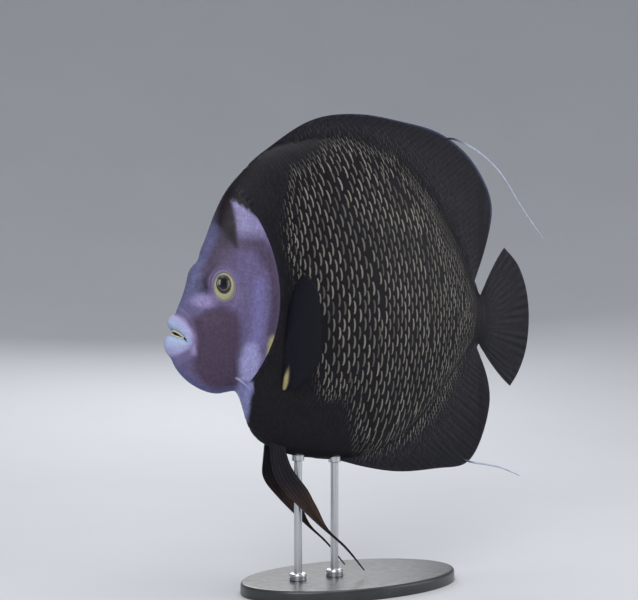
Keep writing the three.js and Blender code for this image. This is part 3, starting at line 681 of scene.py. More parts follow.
class Maker:
    """Wires a procedural material round its Principled shader. Patterns read Object coordinates unless they
    are given others; a space in a socket's name is written as an underscore."""

    def __init__(self, name, **sockets):
        self.material = bpy.data.materials.new(name)
        self.material.use_nodes = True
        self.nodes, self.links = self.material.node_tree.nodes, self.material.node_tree.links
        self.shader = self.nodes["Principled BSDF"]
        for socket, value in sockets.items():
            self.shader.inputs[socket.replace("_", " ")].default_value = value

    def node(self, kind, inputs=None, **settings):
        """A new node with its settings, and its inputs set or linked."""
        made = self.nodes.new(kind)
        for key, value in settings.items():
            setattr(made, key, value)
        for socket, value in (inputs or {}).items():
            self.set(made.inputs[socket], value)
        return made

    def set(self, socket, value):
        """Links a socket to another one, or gives it a value."""
        if isinstance(value, bpy.types.NodeSocket):
            self.links.new(value, socket)
        else:
            socket.default_value = value

    def math(self, operation, a, b=0.0, c=0.0):
        """Result of a sum of up to three inputs."""
        return self.node("ShaderNodeMath", {0: a, 1: b, 2: c}, operation=operation).outputs[0]

    def range(self, value, low, high, to_low=0.0, to_high=1.0):
        """The value carried from low and high to another pair, held between them."""
        made = self.node("ShaderNodeMapRange", {"Value": value, "From Min": low, "From Max": high,
                                                "To Min": to_low, "To Max": to_high}, clamp=True)
        return made.outputs[0]

    def noise(self, scale, detail=3.0, roughness=0.6, vector=None):
        """Soft noise of that many waves to the metre."""
        made = self.node("ShaderNodeTexNoise", {"Scale": scale, "Detail": detail, "Roughness": roughness})
        self.links.new(vector or self.place(), made.inputs["Vector"])
        return made.outputs["Fac"]

    def place(self):
        """Object coordinates."""
        return self.node("ShaderNodeTexCoord").outputs["Object"]

    def attribute(self, name, output="Fac"):
        """A value or colour that the mesh carries."""
        return self.node("ShaderNodeAttribute", attribute_name=name).outputs[output]

    def blend(self, fac, a, b, kind="MIX"):
        """Colour a where fac is 0 and b where it is 1."""
        made = self.node("ShaderNodeMix", data_type="RGBA", blend_type=kind)
        for index, value in ((0, fac), (6, a), (7, b)):
            self.set(made.inputs[index], value)
        return made.outputs[2]

    def tint(self, base, fac, low, high):
        """Multiplies a colour by a grey that runs from low to high over the middle of fac."""
        grey = self.range(fac, *NOISE_SPREAD, low, high)
        rgb = self.node("ShaderNodeCombineColor", {0: grey, 1: grey, 2: grey}).outputs[0]
        return self.blend(1.0, base, rgb, "MULTIPLY")

    def bump(self, height, distance, strength, normal=None):
        """Normals of a height that stands up to distance metres."""
        made = self.node("ShaderNodeBump", {"Height": height, "Distance": distance, "Strength": strength})
        if normal is not None:
            self.links.new(normal, made.inputs["Normal"])
        return made.outputs[0]

    def finish(self, **linked):
        """Links the shader's sockets and hands over the material."""
        for socket, value in linked.items():
            self.set(self.shader.inputs[socket.replace("_", " ")], value)
        return self.material


def skin_finish():
    """Moist skin: the markings, mottled at two sizes, over a fine pebbled bump."""
    m = Maker("moist skin", Coat_Weight=0.1, Coat_Roughness=0.28, Specular_IOR_Level=0.16)
    mottled = m.tint(m.attribute("markings", "Color"), m.noise(90), 0.86, 1.12)
    speckled = m.tint(mottled, m.noise(900, 2), 0.9, 1.1)
    pebbles = m.node("ShaderNodeTexVoronoi", {"Vector": m.place(), "Scale": 900.0}).outputs["Distance"]
    soft = m.bump(m.noise(260), 0.4 * MM, 0.35)
    return m.finish(Base_Color=speckled, Roughness=m.range(m.noise(150), *NOISE_SPREAD, 0.36, 0.52),
                    Normal=m.bump(pebbles, 0.25 * MM, 0.3, soft))


RIM_BAND = (0.862, 0.89)  # where along a scale its pale rear rim begins and is full
GROWTH_LINES = 60.0  # how fast the growth lines follow each other along a scale


def scale_finish():
    """A shield of horn: dark, ringed with fine growth lines, its rear rim pale where the rim value says so.
    The rim and the lines follow the scale's own map: the way back, and the way across squared."""
    m = Maker("scales", Coat_Weight=0.03, Coat_Roughness=0.3, Specular_IOR_Level=0.14)
    uv = m.node("ShaderNodeUVMap", uv_map="Shield").outputs[0]
    parts = m.node("ShaderNodeSeparateXYZ", {0: uv})
    along = parts.outputs[0]
    sideways = m.math("ABSOLUTE", m.math("MULTIPLY_ADD", parts.outputs[1], 2.0, -1.0))
    across = m.math("POWER", sideways, 2.0)
    wobble = m.math("MULTIPLY_ADD", m.noise(700, 2), 0.1, -0.05)
    start = m.math("MULTIPLY_ADD", across, -0.04, m.math("ADD", along, wobble))
    ends = m.range(m.math("ADD", sideways, wobble), 0.84, 0.72)
    rim = m.math("MULTIPLY", m.math("MULTIPLY", m.range(start, *RIM_BAND), ends), m.attribute("rim"))
    edge = m.range(m.math("MULTIPLY_ADD", across, 0.1, along), 0.8, 1.0, 0.5, 0.33)
    ground = m.tint(m.attribute("markings", "Color"), m.noise(420, 3), 0.88, 1.12)
    ground = m.tint(ground, edge, 0.72, 1.15)
    pale = m.tint((*tone("rims"), 1), m.noise(1500, 2), 0.82, 1.1)
    growth = m.math("SINE", m.math("MULTIPLY", m.math("MULTIPLY_ADD", across, -0.2, along), GROWTH_LINES))
    height = m.math("MULTIPLY_ADD", growth, 0.09, m.noise(1200, 2))
    return m.finish(Base_Color=m.blend(rim, ground, pale),
                    Roughness=m.range(m.noise(300), *NOISE_SPREAD, 0.38, 0.55),
                    Normal=m.bump(height, 0.12 * MM, 0.5))


def fin_finish(name, along_scale=1.0):
    """Fin membrane: its tone darkened between the rays, which stand up as fine branching cords."""
    m = Maker(name, Coat_Weight=0.04, Coat_Roughness=0.3, Specular_IOR_Level=0.14)
    ray = m.attribute("ray")
    ground = m.tint(m.attribute("markings", "Color"), ray, 0.8, 1.35)
    mottled = m.tint(ground, m.noise(240 * along_scale), 0.82, 1.16)
    return m.finish(Base_Color=mottled, Roughness=m.range(m.noise(200), *NOISE_SPREAD, 0.4, 0.58),
                    Normal=m.bump(m.math("ADD", ray, m.noise(900, 2)), 0.16 * MM, 0.6))


def eye_finish():
    """Wet eye: the iris with fine radial streaks under a clear hard coat."""
    m = Maker("wet eye", Coat_Weight=1.0, Coat_Roughness=0.03, Roughness=0.4, Specular_IOR_Level=0.1)
    streaks = m.noise(9, 4, 0.7, m.node("ShaderNodeUVMap", uv_map="Iris").outputs[0])
    flecks = m.tint(m.attribute("markings", "Color"), streaks, 0.75, 1.2)
    return m.finish(Base_Color=m.tint(flecks, m.noise(1500, 2), 0.9, 1.1),
                    Normal=m.bump(m.noise(1100, 2), 0.05 * MM, 0.3))


def steel_finish():
    """Brushed steel: fine lines round the rod."""
    m = Maker("brushed steel", Metallic=1.0)
    stretched = m.node("ShaderNodeMapping", {"Vector": m.place(), "Scale": (40, 40, 4200)}).outputs[0]
    lines = m.noise(1.0, 4, 0.7, stretched)
    grey = m.blend(lines, (0.46, 0.47, 0.49, 1), (0.66, 0.67, 0.69, 1))
    return m.finish(Base_Color=grey, Roughness=m.range(lines, 0.2, 0.8, 0.24, 0.4),
                    Normal=m.bump(lines, 0.03 * MM, 0.5))


def lacquer_finish():
    """Satin black lacquer with a fine orange peel and faint dust."""
    m = Maker("satin lacquer", Coat_Weight=0.3, Coat_Roughness=0.2)
    black = m.blend(m.range(m.noise(60, 5), 0.35, 0.75), (0.018, 0.018, 0.02, 1), (0.032, 0.032, 0.035, 1))
    return m.finish(Base_Color=black, Roughness=m.range(m.noise(140), *NOISE_SPREAD, 0.3, 0.42),
                    Normal=m.bump(m.noise(1400, 2), 0.06 * MM, 0.4))


def backdrop_finish():
    """Matt paper, faintly uneven."""
    m = Maker("studio paper", Roughness=0.9, Specular_IOR_Level=0.2)
    paper = (*bpy.context.scene.angelfish_studio.floor, 1)
    return m.finish(Base_Color=m.tint(paper, m.noise(3), 0.985, 1.015))


# ---------------------------------------------------------------- skin

SKIN_SIDE_STEPS = 110  # quads from the upper to the lower edge on one side

# Columns of quads per station, as (station, columns), close together at lips, gill edge and fin rays.
STATION_STEPS = ((0, 14), (3, 14), (3.01, 20), (7.6, 20), (7.85, 60), (8.15, 60), (8.4, 20), (9, 25),
                 (17, 25), (18, 14), (20, 22))
CAP_COLUMNS = 4  # columns of the skin's map kept free for the strip that closes the throat


def skin_stations():
    """Stations of the skin's columns: even steps of the running total of columns per station."""
    fine = np.linspace(0, TAIL_END, 4001)
    density = np.interp(fine, *zip(*STATION_STEPS))
    total = np.concatenate([[0], np.cumsum((density[1:] + density[:-1]) / 2 * np.diff(fine))])
    return np.interp(np.linspace(0, total[-1], int(total[-1]) + 1), total, fine)


def lay_skin():
    """One closed skin: a tube of columns from throat to tail end, each running down the left side and up the
    right, closed at the throat by a strip and welded along the tail's edge."""
    k = skin_stations()[:, None]
    run = np.linspace(0, 1, SKIN_SIDE_STEPS + 1)[None]
    left, _ = skin_point(k, run, -1)
    right, _ = skin_point(k, run[:, -2:0:-1], 1)
    x, z, _, way, turn = section(*np.broadcast_arrays(k, run))
    tones = markings(x, z, k, turn, way)
    points = np.concatenate([left, right], 1)
    tones = np.concatenate([tones, tones[:, -2:0:-1]], 1)
    around = points.shape[1]
    points[-1, SKIN_SIDE_STEPS + 1:] = points[-1, SKIN_SIDE_STEPS - 1:0:-1]
    grid = numbered(len(k), around)
    grid[-1, SKIN_SIDE_STEPS + 1:] = grid[-1, SKIN_SIDE_STEPS - 1:0:-1]
    faces = quads(np.hstack([grid, grid[:, :1]]))[:, ::-1]
    columns = np.repeat(np.arange(len(k) - 1), around)
    rows = np.tile(np.arange(around), len(k) - 1)
    corner = np.stack([np.stack([columns + a, rows + b], -1) for a, b in ((0, 1), (1, 1), (1, 0), (0, 0))], 1)
    uv = corner / (len(k) + CAP_COLUMNS, around)
    strip = np.vstack([grid[0, :SKIN_SIDE_STEPS + 1], np.roll(grid[0, ::-1], 1)[:SKIN_SIDE_STEPS + 1]])
    throat = quads(strip)[1:-1]
    ends = np.array([[grid[0, 0], grid[0, -1], grid[0, 1], grid[0, 1]],
                     [grid[0, SKIN_SIDE_STEPS], grid[0, SKIN_SIDE_STEPS - 1], grid[0, SKIN_SIDE_STEPS + 1],
                      grid[0, SKIN_SIDE_STEPS + 1]]])
    cap = np.vstack([throat, ends])
    cap_uv = np.full((len(cap), 4, 2), 0.5 / around)
    cap_uv[..., 0] = 1 - np.array([0, 0.5, 1, 0.5]) / (len(k) + CAP_COLUMNS)
    piece = add_mesh("fish_skin", points, np.vstack([faces, cap]), skin_finish(),
                     uvs={"OFBake": np.concatenate([uv, cap_uv])}, tones=tones)
    finish_piece(piece, "face_skin", "head", "lower_jaw", "upper_lip", "lower_lip", "gill_cover_left",
                 "gill_cover_right", "trunk", "tail_stem", "dorsal_fin", "anal_fin", "tail_fin")


# ---------------------------------------------------------------- side maps

def between(field, u, v):
    """The field between its entries, by the four nearest: u counts its rows and v its columns from 0."""
    u, v = (np.clip(at, 0, size - 1.001) for at, size in zip((u, v), field.shape))
    i, j = u.astype(int), v.astype(int)
    a, b = u - i, v - j
    return mix(mix(field[i, j], field[i + 1, j], a), mix(field[i, j + 1], field[i + 1, j + 1], a), b)


class SideMap:
    """Half width of the skin over a raster of side view places, from a fine net of its points: the mean of
    the points in each cell, holes filled from their neighbours, then a running mean."""
    CELL = 0.7 * MM
    LOW = np.array([-0.160, -0.155])  # least x and z of the raster
    SHAPE = (520, 440)
    NET_PER_STATION, NET_AROUND = 90, 1150  # points of the net along and round the fish
    NET_RUNS, NET_SHARES = (0, FIN_SHARE, 1 - FIN_SHARE, 1), (0, 0.22, 0.78, 1)  # closer together on the fins
    HOLE_ROUNDS = 3
    SLOPE_STEP = 1.5 * MM

    def __init__(self, first, last, sockets=True):
        k = np.linspace(first, last, int(self.NET_PER_STATION * (last - first)))[:, None]
        run = np.interp(np.linspace(0, 1, self.NET_AROUND), self.NET_SHARES, self.NET_RUNS)
        points, _ = skin_point(k, run[None], -1, sockets)
        half = -(points[..., 1] - swing(points[..., 0]))
        cell = ((points[..., [0, 2]] - (0, FISH_HEIGHT) - self.LOW) / self.CELL).astype(int)
        number = (cell[..., 0] * self.SHAPE[1] + cell[..., 1]).ravel()
        cells = self.SHAPE[0] * self.SHAPE[1]
        count = np.bincount(number, minlength=cells).reshape(self.SHAPE)
        total = np.bincount(number, half.ravel(), minlength=cells).reshape(self.SHAPE)
        self.known = (count > 0).astype(float)
        value, weight = total / np.maximum(count, 1), self.known
        for _ in range(self.HOLE_ROUNDS):
            near_weight, near = self.spread(weight), self.spread(value * weight)
            value = np.where(weight > 0, value, near / np.maximum(near_weight, 1e-9))
            weight = np.maximum(weight, near_weight > 0)
        self.value = self.spread(value * weight) / np.maximum(self.spread(weight), 1e-9)

    @staticmethod
    def spread(field):
        """Running mean over three cells both ways."""
        padded = np.pad(field, 1, mode="edge")
        rows = padded[:-2] + padded[1:-1] + padded[2:]
        return (rows[:, :-2] + rows[:, 1:-1] + rows[:, 2:]) / 9

    def read(self, field, x, z):
        """The field at x, z."""
        return between(field, (x - self.LOW[0]) / self.CELL - 0.5, (z - self.LOW[1]) / self.CELL - 0.5)

    def covers(self, x, z):
        """Whether the cells round x, z all hold points of the net."""
        return self.read(self.known, x, z) > 0.99

    def point(self, x, z, side):
        """Place on the skin at x, z and the way out there, from the half width's slopes."""
        step = self.SLOPE_STEP
        half = self.read(self.value, x, z)
        slope_x = (self.read(self.value, x + step, z) - self.read(self.value, x - step, z)) / (2 * step)
        slope_z = (self.read(self.value, x, z + step) - self.read(self.value, x, z - step)) / (2 * step)
        place = np.stack([x, swing(x) + side * half, z + FISH_HEIGHT], -1)
        return place, unit(np.stack([-slope_x, np.full(half.shape, float(side)), -slope_z], -1))


# ---------------------------------------------------------------- eyes and face fittings

@functools.cache
def eye_half():
    """Half width of the head at the eye."""
    return half_at(*EYE_PLACE)


def eye_axes(side):
    """Middle of the eyeball, and three directions: forward to back, up, and out along its axis."""
    (x, z), out = EYE_PLACE, unit(np.array(EYE_AXIS) * (1, side, 1))
    back = unit(np.cross(out, (0, 0, 1)) * side)
    place = np.array([x, side * eye_half(), z]) * MM + (0, 0, FISH_HEIGHT)
    return place - out * EYE_SUNK * MM, back, unit(np.cross(back, out) * side), out


def dome(r):
    """Height of the eyeball over its middle plane at distance r from its axis, in millimetres."""
    return EYE_DEPTH * np.sqrt(np.maximum(1 - (r / EYE_RADIUS) ** 2, 0))


def disc_place(axes, r, turn, height):
    """Place at distance r, angle turn and height on the eye's axes, given in millimetres."""
    centre, back, up, out = axes
    flat = EYE_OVAL[0] * np.cos(turn)[..., None] * back + EYE_OVAL[1] * np.sin(turn)[..., None] * up
    return centre + (r[..., None] * flat + height[..., None] * out) * MM


def rings(points, paint):
    """A closed piece from rings of points round an axis, each end drawn together in its middle. Gives points,
    quads and the colour of each point."""
    points[0], points[-1] = points[0].mean(0), points[-1].mean(0)
    points, faces, used = join_rings(points)
    return points, outward(points, faces), paint.reshape(-1, 3)[used]


# All in millimetres. Shifts of the middle are towards the snout and the brow.
IRIS_SHIFT, PUPIL_SHIFT = (-1.3, 1.7), (-2.1, 2.6)
IRIS_RADIUS, RING_RADIUS, BALL_BACK = 6.3, 10.3, 9
LENS_OVERLAP = 0.15  # how far the lens reaches over the iris's opening
EYE_STEPS = 96

# Profile of the rim of skin: distances from the eye's axis and heights over the ball's middle plane.
RIM_REACH = np.array([9.3, 9.6, 9.85, 10.1, 10.4, 10.8, 11.2, 11.7, 12.2])
RIM_CREST = np.array([1.5, 2.1, 2.45, 2.62, 2.68, 2.62, 2.5, 2.36, 2.25])


def set_eye(name, side, head_map, material, skin):
    """Eyeball, lens and the soft rim of skin round them."""
    axes = eye_axes(side)
    turn = np.linspace(0, 2 * np.pi, EYE_STEPS, endpoint=False)[None]
    pupil = scene_sizes().pupil / MM
    set_ball(name, axes, turn, pupil, material)
    set_lens(name, axes, turn, pupil, material)
    set_eye_rim(name, side, axes, turn, head_map, skin)


def set_ball(name, axes, turn, pupil, material):
    """Eyeball with its ringed iris: rings of radii round a middle that moves from the pupil's to the ball's
    as the radius grows, laid on a dome that dips at the pupil and along the iris's border."""
    iris, ring, dark = tone("iris"), tone("ring"), tone("mouth")
    radii = [[0.01], np.linspace(1, pupil, 4), np.linspace(pupil + 0.25, RING_RADIUS - 0.05, 36),
             [RING_RADIUS, BALL_BACK, 0.01]]
    r = np.concatenate(radii)[:, None] + 0 * turn
    shift_x, shift_z = (np.interp(r, [0, pupil, IRIS_RADIUS, RING_RADIUS], [inner, inner, outer, 0])
                        for inner, outer in zip(PUPIL_SHIFT, IRIS_SHIFT))
    flat_x, flat_z = shift_x + r * np.cos(turn), shift_z + r * np.sin(turn)
    away, angle = np.hypot(flat_x, flat_z), np.arctan2(flat_z, flat_x)
    height = dome(away) - 0.7 * (r < pupil + 0.2) - 0.3 * np.exp(-(((r - IRIS_RADIUS) / 0.5) ** 2))
    height[-3:] = np.array([0.8, -2, 1 - EYE_DEPTH])[:, None]
    pale = ease((r - IRIS_RADIUS + 0.1) / 0.8)
    shadow = 0.45 * np.exp(-(((r - 10.2) / 0.7) ** 2)) + 0.3 * (pale > 0) * ease(np.sin(angle - 0.5))
    paint = mix(iris * (1.25 - 0.5 * ease((r - pupil) / 2))[..., None], ring, pale[..., None])
    paint = mix(paint, ring * 0.45, (0.7 * np.exp(-(((r - pupil - 0.4) / 0.28) ** 2)))[..., None])
    paint = mix(paint, iris, (shadow * pale)[..., None])
    paint = mix(paint, dark * 0.3, (r < pupil + 0.1)[..., None] * 1.0)
    points, faces, paint = rings(disc_place(axes, away, angle, height), paint)
    local = (points - axes[0]) @ np.array([axes[1], axes[2]]).T / MM
    spokes = 5 * unit(local) + 0.02 * local
    ball = add_mesh(f"eyeball_{name}", points, faces, material, uvs={"Iris": spokes[faces]}, tones=paint)
    finish_piece(ball, "eye", f"eye_{name}")


def set_lens(name, axes, turn, pupil, material):
    """The lens: a low dome that stands in the iris's opening."""
    edge = pupil + LENS_OVERLAP
    r = np.concatenate([[0.01], np.linspace(0, edge, 12)[1:], [edge - 0.05, 0.01]])[:, None] + 0 * turn
    flat_x, flat_z = PUPIL_SHIFT[0] + r * np.cos(turn), PUPIL_SHIFT[1] + r * np.sin(turn)
    away, angle = np.hypot(flat_x, flat_z), np.arctan2(flat_z, flat_x)
    height = dome(away) + 0.3 * np.sqrt(np.maximum(1 - (r / (pupil + 0.2)) ** 2, 0)) - 0.12
    height[-2:] -= 1.3
    paint = tone("mouth") * 0.12 + np.zeros(r.shape + (3,))
    points, faces, paint = rings(disc_place(axes, away, angle, height), paint)
    lens = add_mesh(f"pupil_{name}", points, faces, material, uvs={"Iris": points[faces][..., [0, 2]] * 300},
                    tones=paint)
    finish_piece(lens, "eye")


def set_eye_rim(name, side, axes, turn, head_map, skin):
    """The rim of skin: a closed band from the orbit over a soft crest and in against the eyeball."""
    r, angle = np.broadcast_arrays(RIM_REACH[:, None], turn)
    crest = RIM_CREST[:, None] + 0.05 * np.sin(14 * turn) * ease((r - 10) / 0.8)
    proud = disc_place(axes, r, angle, crest)
    on_head, way_out = head_map.point(proud[..., 0], proud[..., 2] - FISH_HEIGHT, side)
    rim = mix(on_head - way_out * 0.15 * MM, proud, ease((12.1 - r) / 1.1)[..., None])
    rim = np.concatenate([rim[:1] - axes[3] * 2.5 * MM, rim, rim[-1:] - way_out[-1:] * 1.5 * MM])
    paint = markings(rim[..., 0], rim[..., 2] - FISH_HEIGHT, 6.0, 0.2, 0.0)
    inner = np.concatenate([[1], ease((10.5 - RIM_REACH) / 0.7), [0]])[:, None, None]
    paint = mix(paint, tone("ring") * 0.7, 0.7 * inner)
    grid = numbered(*rim.shape[:2])
    closed = np.vstack([grid, grid[:1]])
    faces = outward(rim.reshape(-1, 3), quads(np.hstack([closed, closed[:, :1]])))
    finish_piece(add_mesh(f"eye_rim_{name}", rim, faces, skin, tones=paint), "face_skin")


NOSTRILS = ((-133.0, 13.6, 1.15, 1.0), (-131.6, 8.2, 0.9, 1.5))  # x, z, radius, stretch


def add_nostrils(name, side, head_map, skin):
    """Two nostrils: soft collars turned from a profile round a dark pit."""
    reach = np.array([0, 1.6, 1.6, 1.25, 1.0, 0.8, 0.62, 0.5, 0.35, 0])
    rise = np.array([-1.3, -1.3, -0.15, 0.05, 0.18, 0.22, 0.14, -0.1, -0.6, -0.75])
    all_points, all_faces, all_paint, count = [], [], [], 0
    for x, z, radius, stretch in NOSTRILS:
        (place,), (out,) = head_map.point(np.array([x * MM]), np.array([z * MM]), side)
        first = unit(np.cross((0, 0, 1), out))
        axes = first, unit(np.cross(out, first)), out
        size = radius * MM
        points, faces = lathe(reach * size, rise * size, 28, place, stretch, axes)
        paint = markings(points[:, 0], points[:, 2] - FISH_HEIGHT, 5.0, 0.4, 0.0)
        away = np.linalg.norm(points - place, axis=1) / size
        # painted shade: each pit's floor darkens to the mouth's near-black
        all_paint.append(mix(tone("mouth"), paint, ease((away - 0.35) / 0.45)[:, None]))
        all_faces.append(outward(points, faces) + count)
        all_points.append(points)
        count += len(points)
    piece = add_mesh(f"nostrils_{name}", np.vstack(all_points), np.vstack(all_faces), skin,
                     tones=np.vstack(all_paint))
    finish_piece(piece, "face_skin")


TEETH = 34  # on each half of a lip
TOOTH_LENGTH = 1.5 * MM
TOOTH_STATION = 0.72  # where the lips' inner edge lies
TOOTH_SIDES, TOOTH_RINGS = 4, 5


def set_teeth(material):
    """Fine brush teeth inside both lips: slender four-sided spikes on the lips' inner edge, fanned a little
    outwards with the share of the way round the jaw."""
    ring = np.array([(1, 0), (0, 1), (-1, 0), (0, -1)])
    across = np.array([0.24, 0.24, 0.2, 0.12, 0.03])[:, None, None] * MM
    along = np.array([-0.5, 0.0, 0.45, 0.8, 1.0])[:, None, None] * TOOTH_LENGTH
    share = np.linspace(0, 1, TEETH)
    each = TOOTH_SIDES * TOOTH_RINGS
    spikes = []
    for first, last, lean in ((0.005, 0.36, -1), (0.995, 0.64, 1)):
        for side in SIDES.values():
            root, _ = skin_point(np.full(TEETH, TOOTH_STATION), np.linspace(first, last, TEETH), side)
            ahead = unit(np.stack([-0.45 + 0 * share, -0.25 * side * share, lean * (0.9 - 0.3 * share)], -1))
            one_way = unit(np.cross(ahead, (0, 1, 0)))
            other = np.cross(ahead, one_way)
            flat = ring[:, :1] * one_way[:, None, None] + ring[:, 1:] * other[:, None, None]
            points = root[:, None, None] + across * flat + along * ahead[:, None, None]
            spikes.append(points.reshape(TEETH, each, 3))
    spikes = np.concatenate(spikes)
    grid = numbered(TOOTH_RINGS, TOOTH_SIDES)
    one = np.vstack([quads(np.hstack([grid, grid[:, :1]])), grid[:1], grid[-1:, ::-1]])
    faces = (outward(spikes[0], one)[None] + each * np.arange(len(spikes))[:, None, None]).reshape(-1, 4)
    ivory = np.array(shade(212, 204, 180)) + np.zeros((spikes.size // 3, 3))
    finish_piece(add_mesh("teeth", spikes, faces, material, tones=ivory), "lip_skin")


SPINE_FROM, SPINE_TO, SPINE_BOW = np.array([-111.5, -53.5]), np.array([-91.5, -65.4]), 1.8
SPINE_RADIUS = 1.5 * MM
SPINE_STEPS = 24
SPINE_SEATED = 14  # the steps before the spine leaves the head


def add_cheek_spine(name, side, head_map, skin):
    """The long spine at the lower corner of the cheek: a cone bowed by a half sine that rises out of the skin
    and runs back under the gill cover."""
    t = np.linspace(0, 1, SPINE_STEPS)
    x, z = mix(SPINE_FROM[:, None], SPINE_TO[:, None], t) * MM
    z = z + SPINE_BOW * MM * np.sin(np.pi * t)
    seat, out = head_map.point(x[:SPINE_SEATED], z[:SPINE_SEATED], side)
    last = SPINE_SEATED - 1
    half = np.interp(t, t[:SPINE_SEATED], np.abs(seat[:, 1])) - 1.5 * MM * np.maximum(t - t[last], 0)
    proud = MM * (2.1 * ease(t / 0.75) - 1.5)
    path = np.stack([x, side * half, z + FISH_HEIGHT], -1)
    path = path + out[np.minimum(np.arange(SPINE_STEPS), last)] * proud[:, None]
    radii = SPINE_RADIUS * (1 - t) ** 0.75
    radii[0] = 0
    points, faces = tube(path, radii, 16, 0.75)
    ground = markings(points[:, 0], points[:, 2] - FISH_HEIGHT, 7.0, -0.5, 0.0)
    pale = mix(tone("throat"), tone("lips"), 0.2)
    paint = mix(ground, pale, ease((points[:, 0] / MM + 109) / 7)[:, None])
    piece = add_mesh(f"cheek_spine_{name}", points, outward(points, faces), skin, tones=paint)
    finish_piece(piece, "face_skin")


# ---------------------------------------------------------------- scales

def shield_faces(na, nb):
    """Quads of one closed shield of na by nb points: upper face, lower face and the wall between them."""
    top = numbered(na, nb)
    border = np.concatenate([top[0, :-1], top[:-1, -1], top[-1, :0:-1], top[:0:-1, 0]])
    ahead = np.roll(border, -1)
    wall = np.stack([border, ahead, ahead + na * nb, border + na * nb], -1)
    return np.vstack([quads(top), quads(top + na * nb)[:, ::-1], wall[:, ::-1]])


class Shields:
    """Thin overlapping shields of one grid size, gathered and put into one joined mesh. A shield runs from
    its root at a = 0 to its rear edge at a = 1, and across from b = -1 to 1."""
    PATCH = 0.003  # width of a shield on the OFBake map
    COARSE = (0, 0.55, 1.0)
    ROOT_DEPTH = 0.12  # how far the root lies under the skin, against the rear edge's height

    def __init__(self, along=COARSE, columns=4):
        self.a, self.b = (v.ravel() for v in np.meshgrid(along, np.linspace(-1, 1, columns), indexing="ij"))
        self.faces = shield_faces(len(along), columns)
        self.batches = []

    def outline(self, lengths, widths, bow):
        """Ways back and across for each point: the sides bulge past the middle and the rear edge bows."""
        bulge = np.sqrt(1 - ((self.a - 0.6) / 0.85) ** 2)
        back = lengths[:, None] * self.a * (1 - bow * self.b**2)
        return back, widths[:, None] * self.b * bulge

    def add(self, base, out, lifts, thickness, paint, rim, unwrap):
        """base holds each point's place on the skin, out each shield's way up, unwrap its root's UV place.
        The height grows nearly evenly to the rear and falls off to the sides with the square of b."""
        height = lifts[:, None] * (self.a**1.15 * (1 - 0.22 * self.b**2) - self.ROOT_DEPTH)
        upper = base + out[:, None] * height[..., None]
        lower = upper - out[:, None] * thickness[:, None, None]
        self.batches.append((np.concatenate([upper, lower], 1), paint, rim, unwrap))

    def build(self, name, material, side):
        """Joins the batches into one piece."""
        points, paint, rim, unwrap = (np.concatenate(parts) for parts in zip(*self.batches))
        count, each = points.shape[:2]
        faces = self.faces[None] + (np.arange(count) * each)[:, None, None]
        if side < 0:
            faces = faces[..., ::-1]
        local = np.stack([np.tile(self.a, 2), np.tile(self.b, 2) * 0.5 + 0.5], -1)
        flat = faces.reshape(-1, 4)
        shield_uv = local[flat % each]
        bake_uv = unwrap[flat // each] + (shield_uv - 0.5) * self.PATCH
        paint = np.concatenate([paint, paint], 1)
        piece = add_mesh(name, points, flat, material, sharp_angle=math.radians(50),
                         uvs={"Shield": shield_uv, "OFBake": bake_uv}, values={"rim": np.repeat(rim, each)},
                         tones=paint)
        finish_piece(piece, "body_scales")


FLAT_START, FLAT_SIZE = np.array([-0.158, -0.15]), 0.35  # corner and side of the flank's flat pattern


def unwrapped(x, z):
    """Place of a root on the flat pattern of one flank: the skin laid out by length and height."""
    return (np.stack([x, z], -1) - FLAT_START) / FLAT_SIZE


ROW_MIDDLE = -0.025  # height of the row that runs straight back
ROWS_REACH, COLUMNS_REACH = (-0.17, 0.20), (-0.13, 0.24)  # extents of the lattice before it is fanned
LEVEL_RATIO = 0.86  # each finer set of rows against the one before
LEVELS, LARGE_LEVELS, SMALL_LEVELS = 11, 5, 8
ENDS_BACK = 1.3  # how many periods a scale's rear end lies behind its root
LEAST_GAP = 0.62  # square of the least distance between the rear ends of two sets, in periods and rows
FLANK_BOW, FACE_BOW = 0.13, 0.2  # how far the rear corners of a scale stay behind its middle
FLANK_THICKNESS = 0.16 * MM


def fan(xi, eta):
    """Side view place of a lattice place: rows spread apart with a way that grows smoothly from nothing at
    the shoulder, columns bend back with the square of the distance from the middle row."""
    bend = np.where(eta > 0, 1.6, 2.7 * ease((xi + 0.02) / 0.08)) * ease((xi + 0.09) / 0.08)
    reach = 0.02 * np.logaddexp(0, (xi + 0.05) / 0.02)
    return xi - bend * eta**2, ROW_MIDDLE + eta * (1 + 3.0 * reach)


def wanted_size(x, z):
    """Scale size against the largest: full inside the streaked flank, smaller to its border and beyond."""
    deep = depth_inside(x / MM, z / MM, STREAKED)
    rear = 1 - 0.3 * ease((x / MM - 40) / 60)
    return rear * np.where(deep > 0, 0.52 + 0.48 * ease(deep / 26), 0.52 - 0.24 * ease(-deep / 30))


